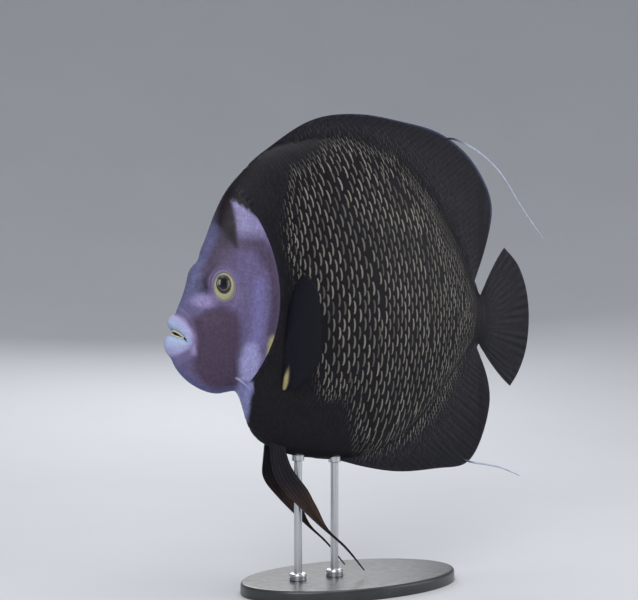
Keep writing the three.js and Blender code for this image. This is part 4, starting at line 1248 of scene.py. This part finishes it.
def body_scales(name, side, material, body_map, rng):
    """Scales of the trunk, stem and fins: fanned rows on several sets of spacing, each used where the wanted
    size calls for it. Where two sets meet, a scale whose rear end comes too near to one of the set before is
    left out."""
    sizes = scene_sizes()
    large, small, fins = Shields((0, 0.4, 0.75, 0.93, 1.0), 6), Shields(), Shields()
    laid = previous = np.zeros((0, 2))  # rear ends of the scales of the two sets before
    for level in range(LEVELS):
        ratio = LEVEL_RATIO**level
        period, spacing = sizes.scale_period * ratio, sizes.scale_rows * ratio
        rows = np.arange(*(int(reach / spacing) for reach in ROWS_REACH))
        columns = np.arange(*(int(reach / period) for reach in COLUMNS_REACH))
        eta, xi = np.meshgrid(rows * spacing, columns * period, indexing="ij")
        xi = xi + np.where(rows % 2, 0.5 * period, 0)[:, None]
        xi, eta = xi.ravel(), eta.ravel()
        xi = xi + rng.uniform(-0.05, 0.05, xi.shape) * period
        eta = eta + rng.uniform(-0.05, 0.05, eta.shape) * spacing
        root = np.stack(fan(xi, eta), -1)
        tiny = 1e-4
        along, across = (np.stack(fan(*at), -1) - root for at in ((xi + tiny, eta), (xi, eta + tiny)))
        spread_cols, spread_rows = (np.linalg.norm(way, axis=1) / tiny for way in (along, across))
        back = unit(along)
        up = np.stack([-back[:, 1], back[:, 0]], -1)
        ends = root + ENDS_BACK * (period * spread_cols)[:, None] * back
        x, z = root.T
        fit = wanted_size(*ends.T) / np.sqrt(spread_rows * spread_cols)
        low = LEVEL_RATIO ** (level + 0.5) if level < LEVELS - 1 else 0
        high = LEVEL_RATIO ** (level - 0.5) if level else 9
        keep = (fit >= low) & (fit < 1.12 * high) & (x / MM > gill_edge_x(z / MM) + 0.2)
        shared = np.flatnonzero(keep & (fit > 0.9 * high))
        if len(laid) and len(shared):
            steps = np.stack([period * spread_cols, spacing * spread_rows], -1)[shared, None]
            gaps = ((ends[shared, None] - laid[None]) / steps) ** 2
            keep[shared[gaps.sum(2).min(1) < LEAST_GAP]] = False
        laid, previous = np.vstack([previous, ends[keep]]), ends[keep]
        x, z, back, up = x[keep], z[keep], back[keep], up[keep]
        lengths = period * spread_cols[keep] * rng.uniform(1.32, 1.46, len(x))
        widths = spacing * spread_rows[keep] * rng.uniform(1.04, 1.14, len(x))
        kind = large if level < LARGE_LEVELS else small if level < SMALL_LEVELS else fins
        far, wide = kind.outline(lengths, widths, FLANK_BOW)
        px = x[:, None] + far * back[:, :1] + wide * up[:, :1]
        pz = z[:, None] + far * back[:, 1:] + wide * up[:, 1:]
        whole = body_map.covers(px, pz).all(1)
        px, pz, x, z = px[whole], pz[whole], x[whole], z[whole]
        lengths, widths = lengths[whole], widths[whole]
        base, _ = body_map.point(px, pz, side)
        middle = (x + 0.5 * lengths * back[whole, 0], z + 0.5 * lengths * back[whole, 1])
        _, out = body_map.point(*middle, side)
        on_fin = fin_way(*middle)
        paint = markings(px, pz, GILL + 1.0, 0.0, fin_way(px, pz)) * rng.uniform(0.82, 1.2, (len(x), 1, 1))
        rim = rim_strength(*middle, on_fin) * rng.uniform(0.32, 1.0, len(x))
        lifts = sizes.scale_lift * ratio**0.8 * mix(1.0, 0.5, ease(on_fin * 3))
        thick = FLANK_THICKNESS * ratio * mix(1.0, 0.6, ease(on_fin * 3))
        kind.add(base, out, lifts, thick, paint, rim, unwrapped(x, z))
    large.build(f"flank_scales_{name}", material, side)
    small.build(f"fine_scales_{name}", material, side)
    fins.build(f"fin_scales_{name}", material, side)


def fin_way(x, z):
    """How far out on a fin a side view place lies, from 0 on the body to 1 at the rim, by its distances to
    the body's edge and to the fish's outline."""
    outside = np.maximum(-depth_inside(x, z, body_outline(False)), 0)
    to_rim = np.maximum(depth_inside(x, z, body_outline(True)), 0)
    return outside / np.maximum(outside + to_rim, 1e-6)


@functools.cache
def body_outline(with_fins):
    """The fish's outline behind the gills as a closed border in metres, with or without its fins."""
    k = np.linspace(NAPE, STEM_END, 33)
    front = np.array([(-0.105, 0.083), (-0.098, -0.067)])
    if with_fins:
        upper = np.stack(DORSAL_RIM(k - NAPE), 1)
        lower = np.stack(ANAL_RIM(np.linspace(0, STEM_END - MID_BODY, 25)), 1)
        tail = np.stack(TAIL_RIM(np.linspace(0, len(TAIL_EDGE) - 1, 19)), 1)
        belly = np.stack(LOWER(np.linspace(NAPE, MID_BODY, 9))[:2], 1)
        line = np.vstack([front[:1], upper, tail, lower[::-1], belly[::-1], front[1:]])
    else:
        upper = np.stack(UPPER(k)[:2], 1)
        root = np.array([(0.129, 0.003), (0.132, -0.016), (0.1275, -0.036)])
        lower = np.stack(LOWER(k)[:2], 1)
        line = np.vstack([front[:1], upper, root, lower[::-1], front[1:]])
    return [tuple(p) for p in line]


HEAD_STATIONS = (GROOVE, MID_BODY + 1)  # stations that the scales laid by runs reach over
RUN_STEPS, STATION_LADDER = 241, 161


def run_table():
    """Runs at even distances round each section: for a ladder of stations, the run at each even share of the
    way from the upper to the lower edge, that way's length, and the distance from station to station."""
    k = np.linspace(*HEAD_STATIONS, STATION_LADDER)
    s = np.linspace(0, 1, RUN_STEPS)
    points, _ = skin_point(k[:, None], s[None], -1)
    steps = np.linalg.norm(np.diff(points, axis=1), axis=2)
    way = np.concatenate([np.zeros((len(k), 1)), np.cumsum(steps, 1)], 1)
    runs = np.stack([np.interp(s, row / row[-1], s) for row in way])
    middle = points[:, RUN_STEPS // 4:3 * RUN_STEPS // 4 + 10:10]
    ahead = np.linalg.norm(np.gradient(middle, k, axis=0), axis=2).mean(1)
    return k, runs, way[:, -1], ahead


def lay_on_run(kind, k, s, side, lengths, widths, lifts, thick, rng):
    """Lays shields whose roots are at station k and run s, back along the stations: a shield's own ways are
    turned into changes of k and s by the slopes of the skin at its root, as the two unknowns of two sums."""
    small = 4e-3
    step_k = (skin_point(k + small, s, side)[0] - skin_point(k - small, s, side)[0]) / (2 * small)
    step_s = (skin_point(k, s + small, side)[0] - skin_point(k, s - small, side)[0]) / (2 * small)
    back = unit(step_k)
    _, out = skin_point(k, s, side)
    over = np.cross(out, back)
    far, wide = kind.outline(lengths, widths, FACE_BOW)

    def dot(one, other):
        return (one * other).sum(1)[:, None]

    kk, ks, ss = dot(step_k, step_k), dot(step_k, step_s), dot(step_s, step_s)
    to_k = far * dot(back, step_k) + wide * dot(over, step_k)
    to_s = far * dot(back, step_s) + wide * dot(over, step_s)
    whole = kk * ss - ks**2
    pk = k[:, None] + (to_k * ss - to_s * ks) / whole
    ps = s[:, None] + (to_s * kk - to_k * ks) / whole
    x, z, _, way, turn = section(pk, folded(ps))
    clear = way.max(1) < 0.04  # none over the foot of an upright fin
    k, s, pk, ps, x, z, way, turn, out = (v[clear] for v in (k, s, pk, ps, x, z, way, turn, out))
    base, _ = skin_point(pk, ps, side)
    paint = markings(x, z, pk, turn, way) * rng.uniform(0.9, 1.1, (len(k), 1, 1))
    first, last = HEAD_STATIONS
    unwrap = np.stack([(k - first) / (last - first), 0.04 + 0.92 * s], -1)  # the skin slit along the middle
    kind.add(base, out, lifts[clear], thick[clear], paint, np.zeros(len(k)), unwrap)


def lattice(first, last, low, high, rows, tables, rng, stretch, jitter=0.06):
    """Staggered roots between two stations and two shares of the section: row spacing is the section's length
    over the number of rows, and the step along a row is stretch times that."""
    k_row, runs, around, ahead = tables
    fine = np.linspace(first, last, 400)
    step = stretch * np.interp(fine, k_row, around) / rows / np.interp(fine, k_row, ahead)
    total = np.concatenate([[0], np.cumsum(np.diff(fine) * (1 / step[1:] + 1 / step[:-1]) / 2)])
    row = np.arange(int(low * rows), int(high * rows) + 1)
    place, part = np.meshgrid(np.arange(int(total[-1])), row, indexing="ij")
    place = place + 0.5 * (part % 2) + rng.uniform(-jitter, jitter, place.shape)
    part = (part + rng.uniform(-jitter, jitter, place.shape)).ravel() / rows
    k = np.interp(place.ravel(), total, fine)
    s = between(runs, (k - k_row[0]) / (k_row[1] - k_row[0]), folded(part) * (RUN_STEPS - 1))
    s = np.where(part < 0, -s, np.where(part > 1, 2 - s, s))
    return k, s, np.interp(k, k_row, around) / rows


ORBIT = 12.5  # no scale has its root nearer to the eye's middle, in millimetres of its oval
LONGER = 1.7  # step along a row against the rows' spacing


def head_scales(name, side, material, tables, rng):
    """Small scales of the face, finest on the snout, and those that wrap over nape, breast and belly, which
    lie down where the flank's scales take over."""
    kind = Shields()
    rows = scene_sizes().face_rows
    # first and last station, lowest and highest share of the section, rows, and whether the band wraps over
    bands_of_rows = ((GROOVE + 0.35, 5.2, 0.0, 1.0, int(rows * 0.78), False),
                     (5.2, GILL - 0.02, 0.0, 1.0, rows, False),
                     (GILL - 0.05, NAPE + 0.5, 0.0, 0.13, int(rows * 0.85), True),
                     (GILL - 0.1, MID_BODY + 0.5, 0.93, 1.0, int(rows * 0.75), True))
    for first, last, low, high, count, wraps in bands_of_rows:
        k, s, spacing = lattice(first, last, low, high, count, tables, rng, LONGER)
        x, z, _, _, turn = section(k, np.clip(s, 0, 1))
        x, z = x / MM, z / MM
        clear = np.hypot((x - EYE_PLACE[0]) / EYE_OVAL[0], (z - EYE_PLACE[1]) / EYE_OVAL[1]) > ORBIT
        for nx, nz, radius, _ in NOSTRILS:
            clear &= np.hypot(x - nx + 0.9, z - nz) > 1.4 * radius + 1.1
        if count == rows:  # none hangs over the gill cover's free edge
            clear &= (gill_edge_x(z) - x >= 2.6 * spacing / MM + 0.8) | (np.abs(turn) >= 0.8)
        k, s, spacing = k[clear], s[clear], spacing[clear]
        lengths = spacing * LONGER * rng.uniform(1.35, 1.5, len(k))
        widths = spacing * rng.uniform(1.05, 1.15, len(k))
        ending = 1 - 0.9 * ease((k - last + 0.7) / 0.7) * wraps
        lift = np.minimum(0.13 * lengths, 0.3 * MM) * ending
        lay_on_run(kind, k, s, side, lengths, widths, lift, 0.25 * lift + 0.03 * MM, rng)
    kind.build(f"face_scales_{name}", material, side)


# ---------------------------------------------------------------- paired fins and streamers

def fin_rays(v, u, count):
    """Height of the rays across a fin from 0 to 1: a cosine per ray, which splits in two past its middle."""
    return mix(bands(2 * np.pi * count * v), bands(4 * np.pi * count * v), ease((u - 0.45) / 0.2))


def pectoral_fin(name, side, material):
    """Fan of rays from the root line on the flank: the rays' lengths and angles run smoothly from the leading
    ray to the last, the blade cups backwards with the square of the way out, and the root is a fleshy lobe
    laid against the flank."""
    down = unit(np.array([0.13, 0.03, -0.99]))
    out = np.array([math.cos(PECTORAL_STAND_OUT), -math.sin(PECTORAL_STAND_OUT), 0])
    normal = unit(np.cross(down, out))
    u, v = np.meshgrid(np.linspace(0, 1, 40), np.linspace(0, 1, 110), indexing="ij")
    lengths, degrees = Rail(PECTORAL_RAYS, scale=1)(v * (len(PECTORAL_RAYS) - 1))
    angle = np.radians(degrees)
    scallop = 0.012 * (1 - bands(2 * np.pi * PECTORAL_RAY_COUNT * v))
    edge = 1 - scallop - 0.4 * ease((v - 0.72) / 0.28) ** 1.5
    reach = lengths * (u * (1 + 3 / lengths) - 3 / lengths) * edge
    middle = (np.array(PECTORAL_ROOT) + (PECTORAL_ROOT_LENGTH * v + reach * np.cos(angle))[..., None] * down
              + (reach * np.sin(angle))[..., None] * out - (PECTORAL_CUP * u**2)[..., None] * normal)
    middle[..., 1] += (2.0 + 4.0 * v) * (1 - ease(u / 0.45))
    rays = fin_rays(v, u, PECTORAL_RAY_COUNT)
    lobe = 1.5 * (1 - ease(u * 4.5)) * np.sin(np.pi * np.clip(v, 0.02, 0.98)) ** 0.5
    half = mix(0.34, 0.2, u) + 0.1 * rays * (1 - u) + lobe
    flip = np.array([1, -side, 1]) * MM
    points, faces = pillow(middle * flip + (0, 0, FISH_HEIGHT), half[..., None] * normal * flip)
    rim = 0.8 * ease((0.075 - np.abs(u - 0.12)) / 0.05) * ease((1.03 - v) / 0.1) * ease((v - 0.35) / 0.2)
    paint = tone("pectoral") * (1 - 0.25 * u[..., None])
    paint = mix(paint, tone("body"), (1 - ease((u - 0.02) / 0.06))[..., None])
    paint = mix(paint, tone("bars"), rim[..., None])
    add_fin(f"pectoral_{name}", points, faces, material, paint, rays, "fin_skin", f"pectoral_fin_{name}")


def pelvic_fin(name, side, material):
    """Long blade between the fin spine in front and its last ray behind, ending in one filament. Across it
    the place is mixed from the two edges, splayed outwards with a quarter sine and rippled a little."""
    u, v = np.meshgrid(np.linspace(0, 1, 90), np.linspace(0, 1, 40), indexing="ij")
    knots = len(PELVIC_FRONT) - 1
    (fx, fz), (rx, rz) = (Rail(line, 0.4, 1)(u * knots) for line in (PELVIC_FRONT, PELVIC_REAR))
    splay = mix(2.5, 7.5, ease(u / 0.22)) + 6.5 * np.sin(u * np.pi / 2) + 2 * v * (1 - u) * ease(u / 0.2)
    rays = fin_rays(v, u, PELVIC_RAY_COUNT)
    ripple = 0.5 * np.sin(v * 9 + u * 5) * v * np.sin(np.pi * u)
    tucked = 8 * (1 - ease(u / 0.14))
    across = 0.12 + v * mix(0.4, 0.88, ease(u / 0.34)) - 0.12 * ease(u / 0.2)
    across = across + (v - across) * ease((u - 0.3) / 0.2)
    middle = np.stack([mix(fx, rx, across), side * (splay + ripple), mix(fz, rz, across) + tucked], -1)
    spine = np.exp(-((v / 0.07) ** 2))
    half = mix(0.3, 0.2, u) + 0.12 * rays * (1 - u) + 0.5 * spine * (1 - u) + 1.3 * (1 - ease(u * 5))
    half = half * np.sqrt(np.clip(1.02 - (2 * v - 1) ** 8, 0, 1))
    points, faces = pillow(middle * MM + (0, 0, FISH_HEIGHT), half[..., None] * np.array([0, MM, 0]))
    paint = tone("pelvic") * (1.1 - 0.5 * u[..., None])
    paint = mix(paint, tone("body"), (1 - ease((u - 0.16) / 0.34))[..., None])
    paint = mix(paint, tone("breast"), (0.45 * spine * ease((u - 0.3) / 0.4))[..., None])
    add_fin(f"pelvic_{name}", points, faces, material, paint, rays, "pelvic_skin", f"pelvic_fin_{name}")


def add_fin(name, points, faces, material, paint, rays, slot, node):
    """Puts a pillow grid with its colours and rays into a piece."""
    inner = (slice(1, -1), slice(1, -1))
    tones = np.vstack([paint.reshape(-1, 3), paint[inner].reshape(-1, 3)])
    values = np.concatenate([rays.ravel(), rays[inner].ravel()])
    piece = add_mesh(name, points, outward(points, faces), material, values={"ray": values}, tones=tones)
    finish_piece(piece, slot, node)


def streamer(name, stops, material, node):
    """Filament of an upright fin: a flattened cord along a smooth curve, thinning evenly to its tip."""
    place = np.linspace(0, len(stops) - 1, 120)
    x, z = Rail(stops, 0.3)(place)
    t = place / place[-1]
    path = np.stack([x, swing(x), z + FISH_HEIGHT], -1)
    radii = mix(0.95, 0.45, t) * MM * mix(0.55, 1.0, ease(t * 6)) * ease(t * 30) * ease((1 - t) * 12)
    points, faces = tube(path, radii, 14, 0.6)
    far = (points[:, 0] - x[0]) / (x[-1] - x[0])
    paint = mix(tone("fins"), tone("streamer"), ease(far * 4 - 0.3)[:, None])
    rays = np.full(len(points), 0.5)
    piece = add_mesh(name, points, outward(points, faces), material, values={"ray": rays}, tones=paint)
    finish_piece(piece, "streamer", node)


# ---------------------------------------------------------------- stand and studio

BASE_LENGTH, BASE_WIDTH, BASE_TOP = 90, 56, 9  # half length, half width and height, in millimetres
BASE_ROUNDING = 2.2
BASE_STEPS, ROD_STEPS = 144, 64

# Profile of a rod as (radius, height): from the base up, and from the rod's top down, in millimetres.
ROD_FOOT = ((0, 0), (6.1, 0), (6.4, 0.3), (6.4, 2.1), (6.05, 2.35), (6.05, 2.75), (6.4, 3.0), (6.4, 4.3),
            (6.0, 5.0), (5.2, 5.3), (3.3, 5.3), (3.0, 5.6))
ROD_HEAD = ((3.0, -16), (3.0, -9.6), (3.4, -9.3), (4.4, -9.3), (4.7, -9.0), (4.7, -5), (3.0, -3), (2.9, -0.2),
            (0, 0))


def stand_base():
    """Oval plinth: an outline drawn in by insets, equally on both axes at the edge and in proportion further
    in, at heights that follow a quarter circle over the rounded edge."""
    quarter = np.linspace(0, np.pi / 2, 9)
    edge_in, edge_up = BASE_ROUNDING * (1 - np.cos(quarter)), BASE_ROUNDING * (np.sin(quarter) - 1)
    inset = np.concatenate([[BASE_LENGTH, 40, 0.9, 0.3, 0], edge_in, [4, 20, 50, BASE_LENGTH]])[:, None]
    height = np.concatenate([[0, 0, 0, 0.2, 0.8], BASE_TOP + edge_up, [BASE_TOP] * 4])[:, None]
    turn = np.linspace(0, 2 * np.pi, BASE_STEPS, endpoint=False)
    shrink = 1 - inset / BASE_LENGTH
    narrow = np.where(inset > 5, shrink, 1 - inset / BASE_WIDTH)
    points = np.stack([BASE_LENGTH * shrink * np.cos(turn), BASE_WIDTH * narrow * np.sin(turn),
                       height + 0 * turn], -1) * MM
    points, faces, _ = join_rings(points)
    piece = add_mesh("plinth", points, outward(points, faces), lacquer_finish(), sharp_angle=math.radians(40))
    finish_piece(piece, "stand_base", "stand_base")


def stand_rod(name, material):
    """Rod turned from a profile: a grooved collar on the base, the shaft, a ring below the belly."""
    low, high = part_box(f"stand_rod_{name}")
    foot, head = np.array(ROD_FOOT) * MM, np.array(ROD_HEAD) * MM
    profile = np.vstack([foot + (0, BASE_TOP * MM), head + (0, high[2])])
    points, faces = lathe(*profile.T, ROD_STEPS, ((low[0] + high[0]) / 2, 0, 0))
    piece = add_mesh(f"rod_{name}", points, outward(points, faces), material, sharp_angle=math.radians(35))
    finish_piece(piece, "stand_rod", f"stand_rod_{name}")


def backdrop():
    """Bowl of paper: a flat round floor that curves up in a quarter circle into a low wall."""
    flat, bend, wall = 0.8, 3.4, 0.4
    arc = np.linspace(0, np.pi / 2, 24)
    radii = np.concatenate([[0, 0.3, 0.5, 0.7], flat + bend * np.sin(arc), [flat + bend]])
    heights = np.concatenate([[0, 0, 0, 0], bend * (1 - np.cos(arc)), [bend + wall]])
    add_mesh("backdrop", *lathe(radii, heights, 160), backdrop_finish())


def aim(thing, place, target):
    """Stands a lamp or camera at place with its -Z axis towards the target."""
    thing.location = place
    thing.rotation_euler = (Vector(target) - Vector(place)).to_track_quat("-Z", "Y").to_euler()


def lamp(name, place, target, size, power):
    """Square soft lamp that points at its target and isn't seen by the camera."""
    data = bpy.data.lights.new(name, "AREA")
    data.size, data.energy = size, power
    made = bpy.data.objects.new(name, data)
    bpy.context.scene.collection.objects.link(made)
    made.visible_camera = False
    aim(made, place, target)


# ---------------------------------------------------------------- operators

class ANGELFISH_OT_skin(bpy.types.Operator):
    """Lay the skin over head, trunk and upright fins"""
    bl_idname = "angelfish.lay_skin"
    bl_label = "Skin"

    def execute(self, context):
        lay_skin()
        return {"FINISHED"}


class ANGELFISH_OT_face(bpy.types.Operator):
    """Set the eyes with their rims, the nostrils and the cheek spines"""
    bl_idname = "angelfish.set_face"
    bl_label = "Eyes and Face"

    def execute(self, context):
        head_map = SideMap(GROOVE, GILL, sockets=False)
        wet, skin = eye_finish(), bpy.data.materials["moist skin"]
        for name, side in SIDES.items():
            set_eye(name, side, head_map, wet, skin)
            add_nostrils(name, side, head_map, skin)
            add_cheek_spine(name, side, head_map, skin)
        set_teeth(skin)
        return {"FINISHED"}


class ANGELFISH_OT_scales(bpy.types.Operator):
    """Lay the scales over the skin, row by row"""
    bl_idname = "angelfish.lay_scales"
    bl_label = "Scales"

    def execute(self, context):
        material = scale_finish()
        body_map, tables = SideMap(GILL + 0.02, TAIL_END), run_table()
        for name, side in SIDES.items():
            rng = np.random.default_rng(scene_sizes().seed + side)
            body_scales(name, side, material, body_map, rng)
            head_scales(name, side, material, tables, rng)
        return {"FINISHED"}


class ANGELFISH_OT_paired_fins(bpy.types.Operator):
    """Make the pectoral and pelvic fins"""
    bl_idname = "angelfish.paired_fins"
    bl_label = "Paired Fins"

    def execute(self, context):
        dark, brown = fin_finish("dark fin"), fin_finish("brown fin", 0.7)
        for name, side in SIDES.items():
            pectoral_fin(name, side, dark)
            pelvic_fin(name, side, brown)
        return {"FINISHED"}


class ANGELFISH_OT_streamers(bpy.types.Operator):
    """Make the filaments of the upright fins"""
    bl_idname = "angelfish.streamers"
    bl_label = "Streamers"

    def execute(self, context):
        material = fin_finish("streamer")
        streamer("streamer_dorsal", DORSAL_STREAMER, material, "dorsal_streamer")
        streamer("streamer_anal", ANAL_STREAMER, material, "anal_streamer")
        return {"FINISHED"}


class ANGELFISH_OT_stand(bpy.types.Operator):
    """Make the plinth and its two rods"""
    bl_idname = "angelfish.stand"
    bl_label = "Stand"

    def execute(self, context):
        stand_base()
        steel = steel_finish()
        for name in ("front", "rear"):
            stand_rod(name, steel)
        return {"FINISHED"}


class ANGELFISH_OT_studio(bpy.types.Operator):
    """Set up the floor, lamps and camera"""
    bl_idname = "angelfish.studio"
    bl_label = "Studio"

    def execute(self, context):
        studio = context.scene.angelfish_studio
        backdrop()
        middle = (0, 0, FISH_HEIGHT)
        lamp("key", (-0.95, -1.15, 0.95), middle, 0.9, studio.key)
        lamp("top", (0.1, -0.15, 1.5), middle, 1.1, studio.top)
        lamp("fill", (1.2, -0.9, 0.5), middle, 1.0, 0.4 * studio.key)
        lamp("back", (0.5, 1.3, 0.9), middle, 0.9, 0.65 * studio.key)
        world = bpy.data.worlds.new("soft light")
        world.use_nodes = True
        world.node_tree.nodes["Background"].inputs[0].default_value = (0.92, 0.95, 1.0, 1)
        world.node_tree.nodes["Background"].inputs[1].default_value = 0.5
        context.scene.world = world
        data = bpy.data.cameras.new("camera")
        data.lens, data.sensor_width, data.shift_x = studio.lens, 36, studio.shift
        data.clip_start, data.clip_end = 0.05, 20
        camera = bpy.data.objects.new("camera", data)
        context.scene.collection.objects.link(camera)
        back = np.array([math.sin(studio.azimuth), -math.cos(studio.azimuth), 0])
        aim(camera, tuple(np.array(middle) + back * studio.distance), middle)
        context.scene.camera = camera
        context.scene.view_settings.view_transform = "Standard"
        return {"FINISHED"}


class ANGELFISH_PT_panel(bpy.types.Panel):
    """Lists the settings and the operators"""
    bl_idname = "ANGELFISH_PT_panel"
    bl_label = "Angelfish"
    bl_space_type = "VIEW_3D"
    bl_region_type = "UI"
    bl_category = "Angelfish"

    def draw(self, context):
        layout = self.layout
        for group in GROUPS:
            settings = getattr(context.scene, group)
            box = layout.box()
            for name in settings.bl_rna.properties.keys()[1:]:
                if name != "name":
                    box.prop(settings, name)
        for operator in OPERATORS:
            layout.operator(operator.bl_idname)


OPERATORS = (ANGELFISH_OT_studio, ANGELFISH_OT_skin, ANGELFISH_OT_face, ANGELFISH_OT_scales,
             ANGELFISH_OT_paired_fins, ANGELFISH_OT_streamers, ANGELFISH_OT_stand)
GROUPS = {"angelfish_colours": AngelfishColours, "angelfish_sizes": AngelfishSizes,
          "angelfish_studio": AngelfishStudio}


def register():
    """Makes the settings, operators and panel known."""
    for made in (*GROUPS.values(), *OPERATORS, ANGELFISH_PT_panel):
        bpy.utils.register_class(made)
    for name, group in GROUPS.items():
        setattr(bpy.types.Scene, name, PointerProperty(type=group))


def unregister():
    """Takes them back."""
    for name in GROUPS:
        delattr(bpy.types.Scene, name)
    for made in (ANGELFISH_PT_panel, *reversed(OPERATORS), *reversed(tuple(GROUPS.values()))):
        bpy.utils.unregister_class(made)


def main():
    """Builds everything."""
    register()
    for operator in OPERATORS:
        group, name = operator.bl_idname.split(".")
        getattr(getattr(bpy.ops, group), name)()
    bpy.context.view_layer.update()


if __name__ == "__main__":
    main()
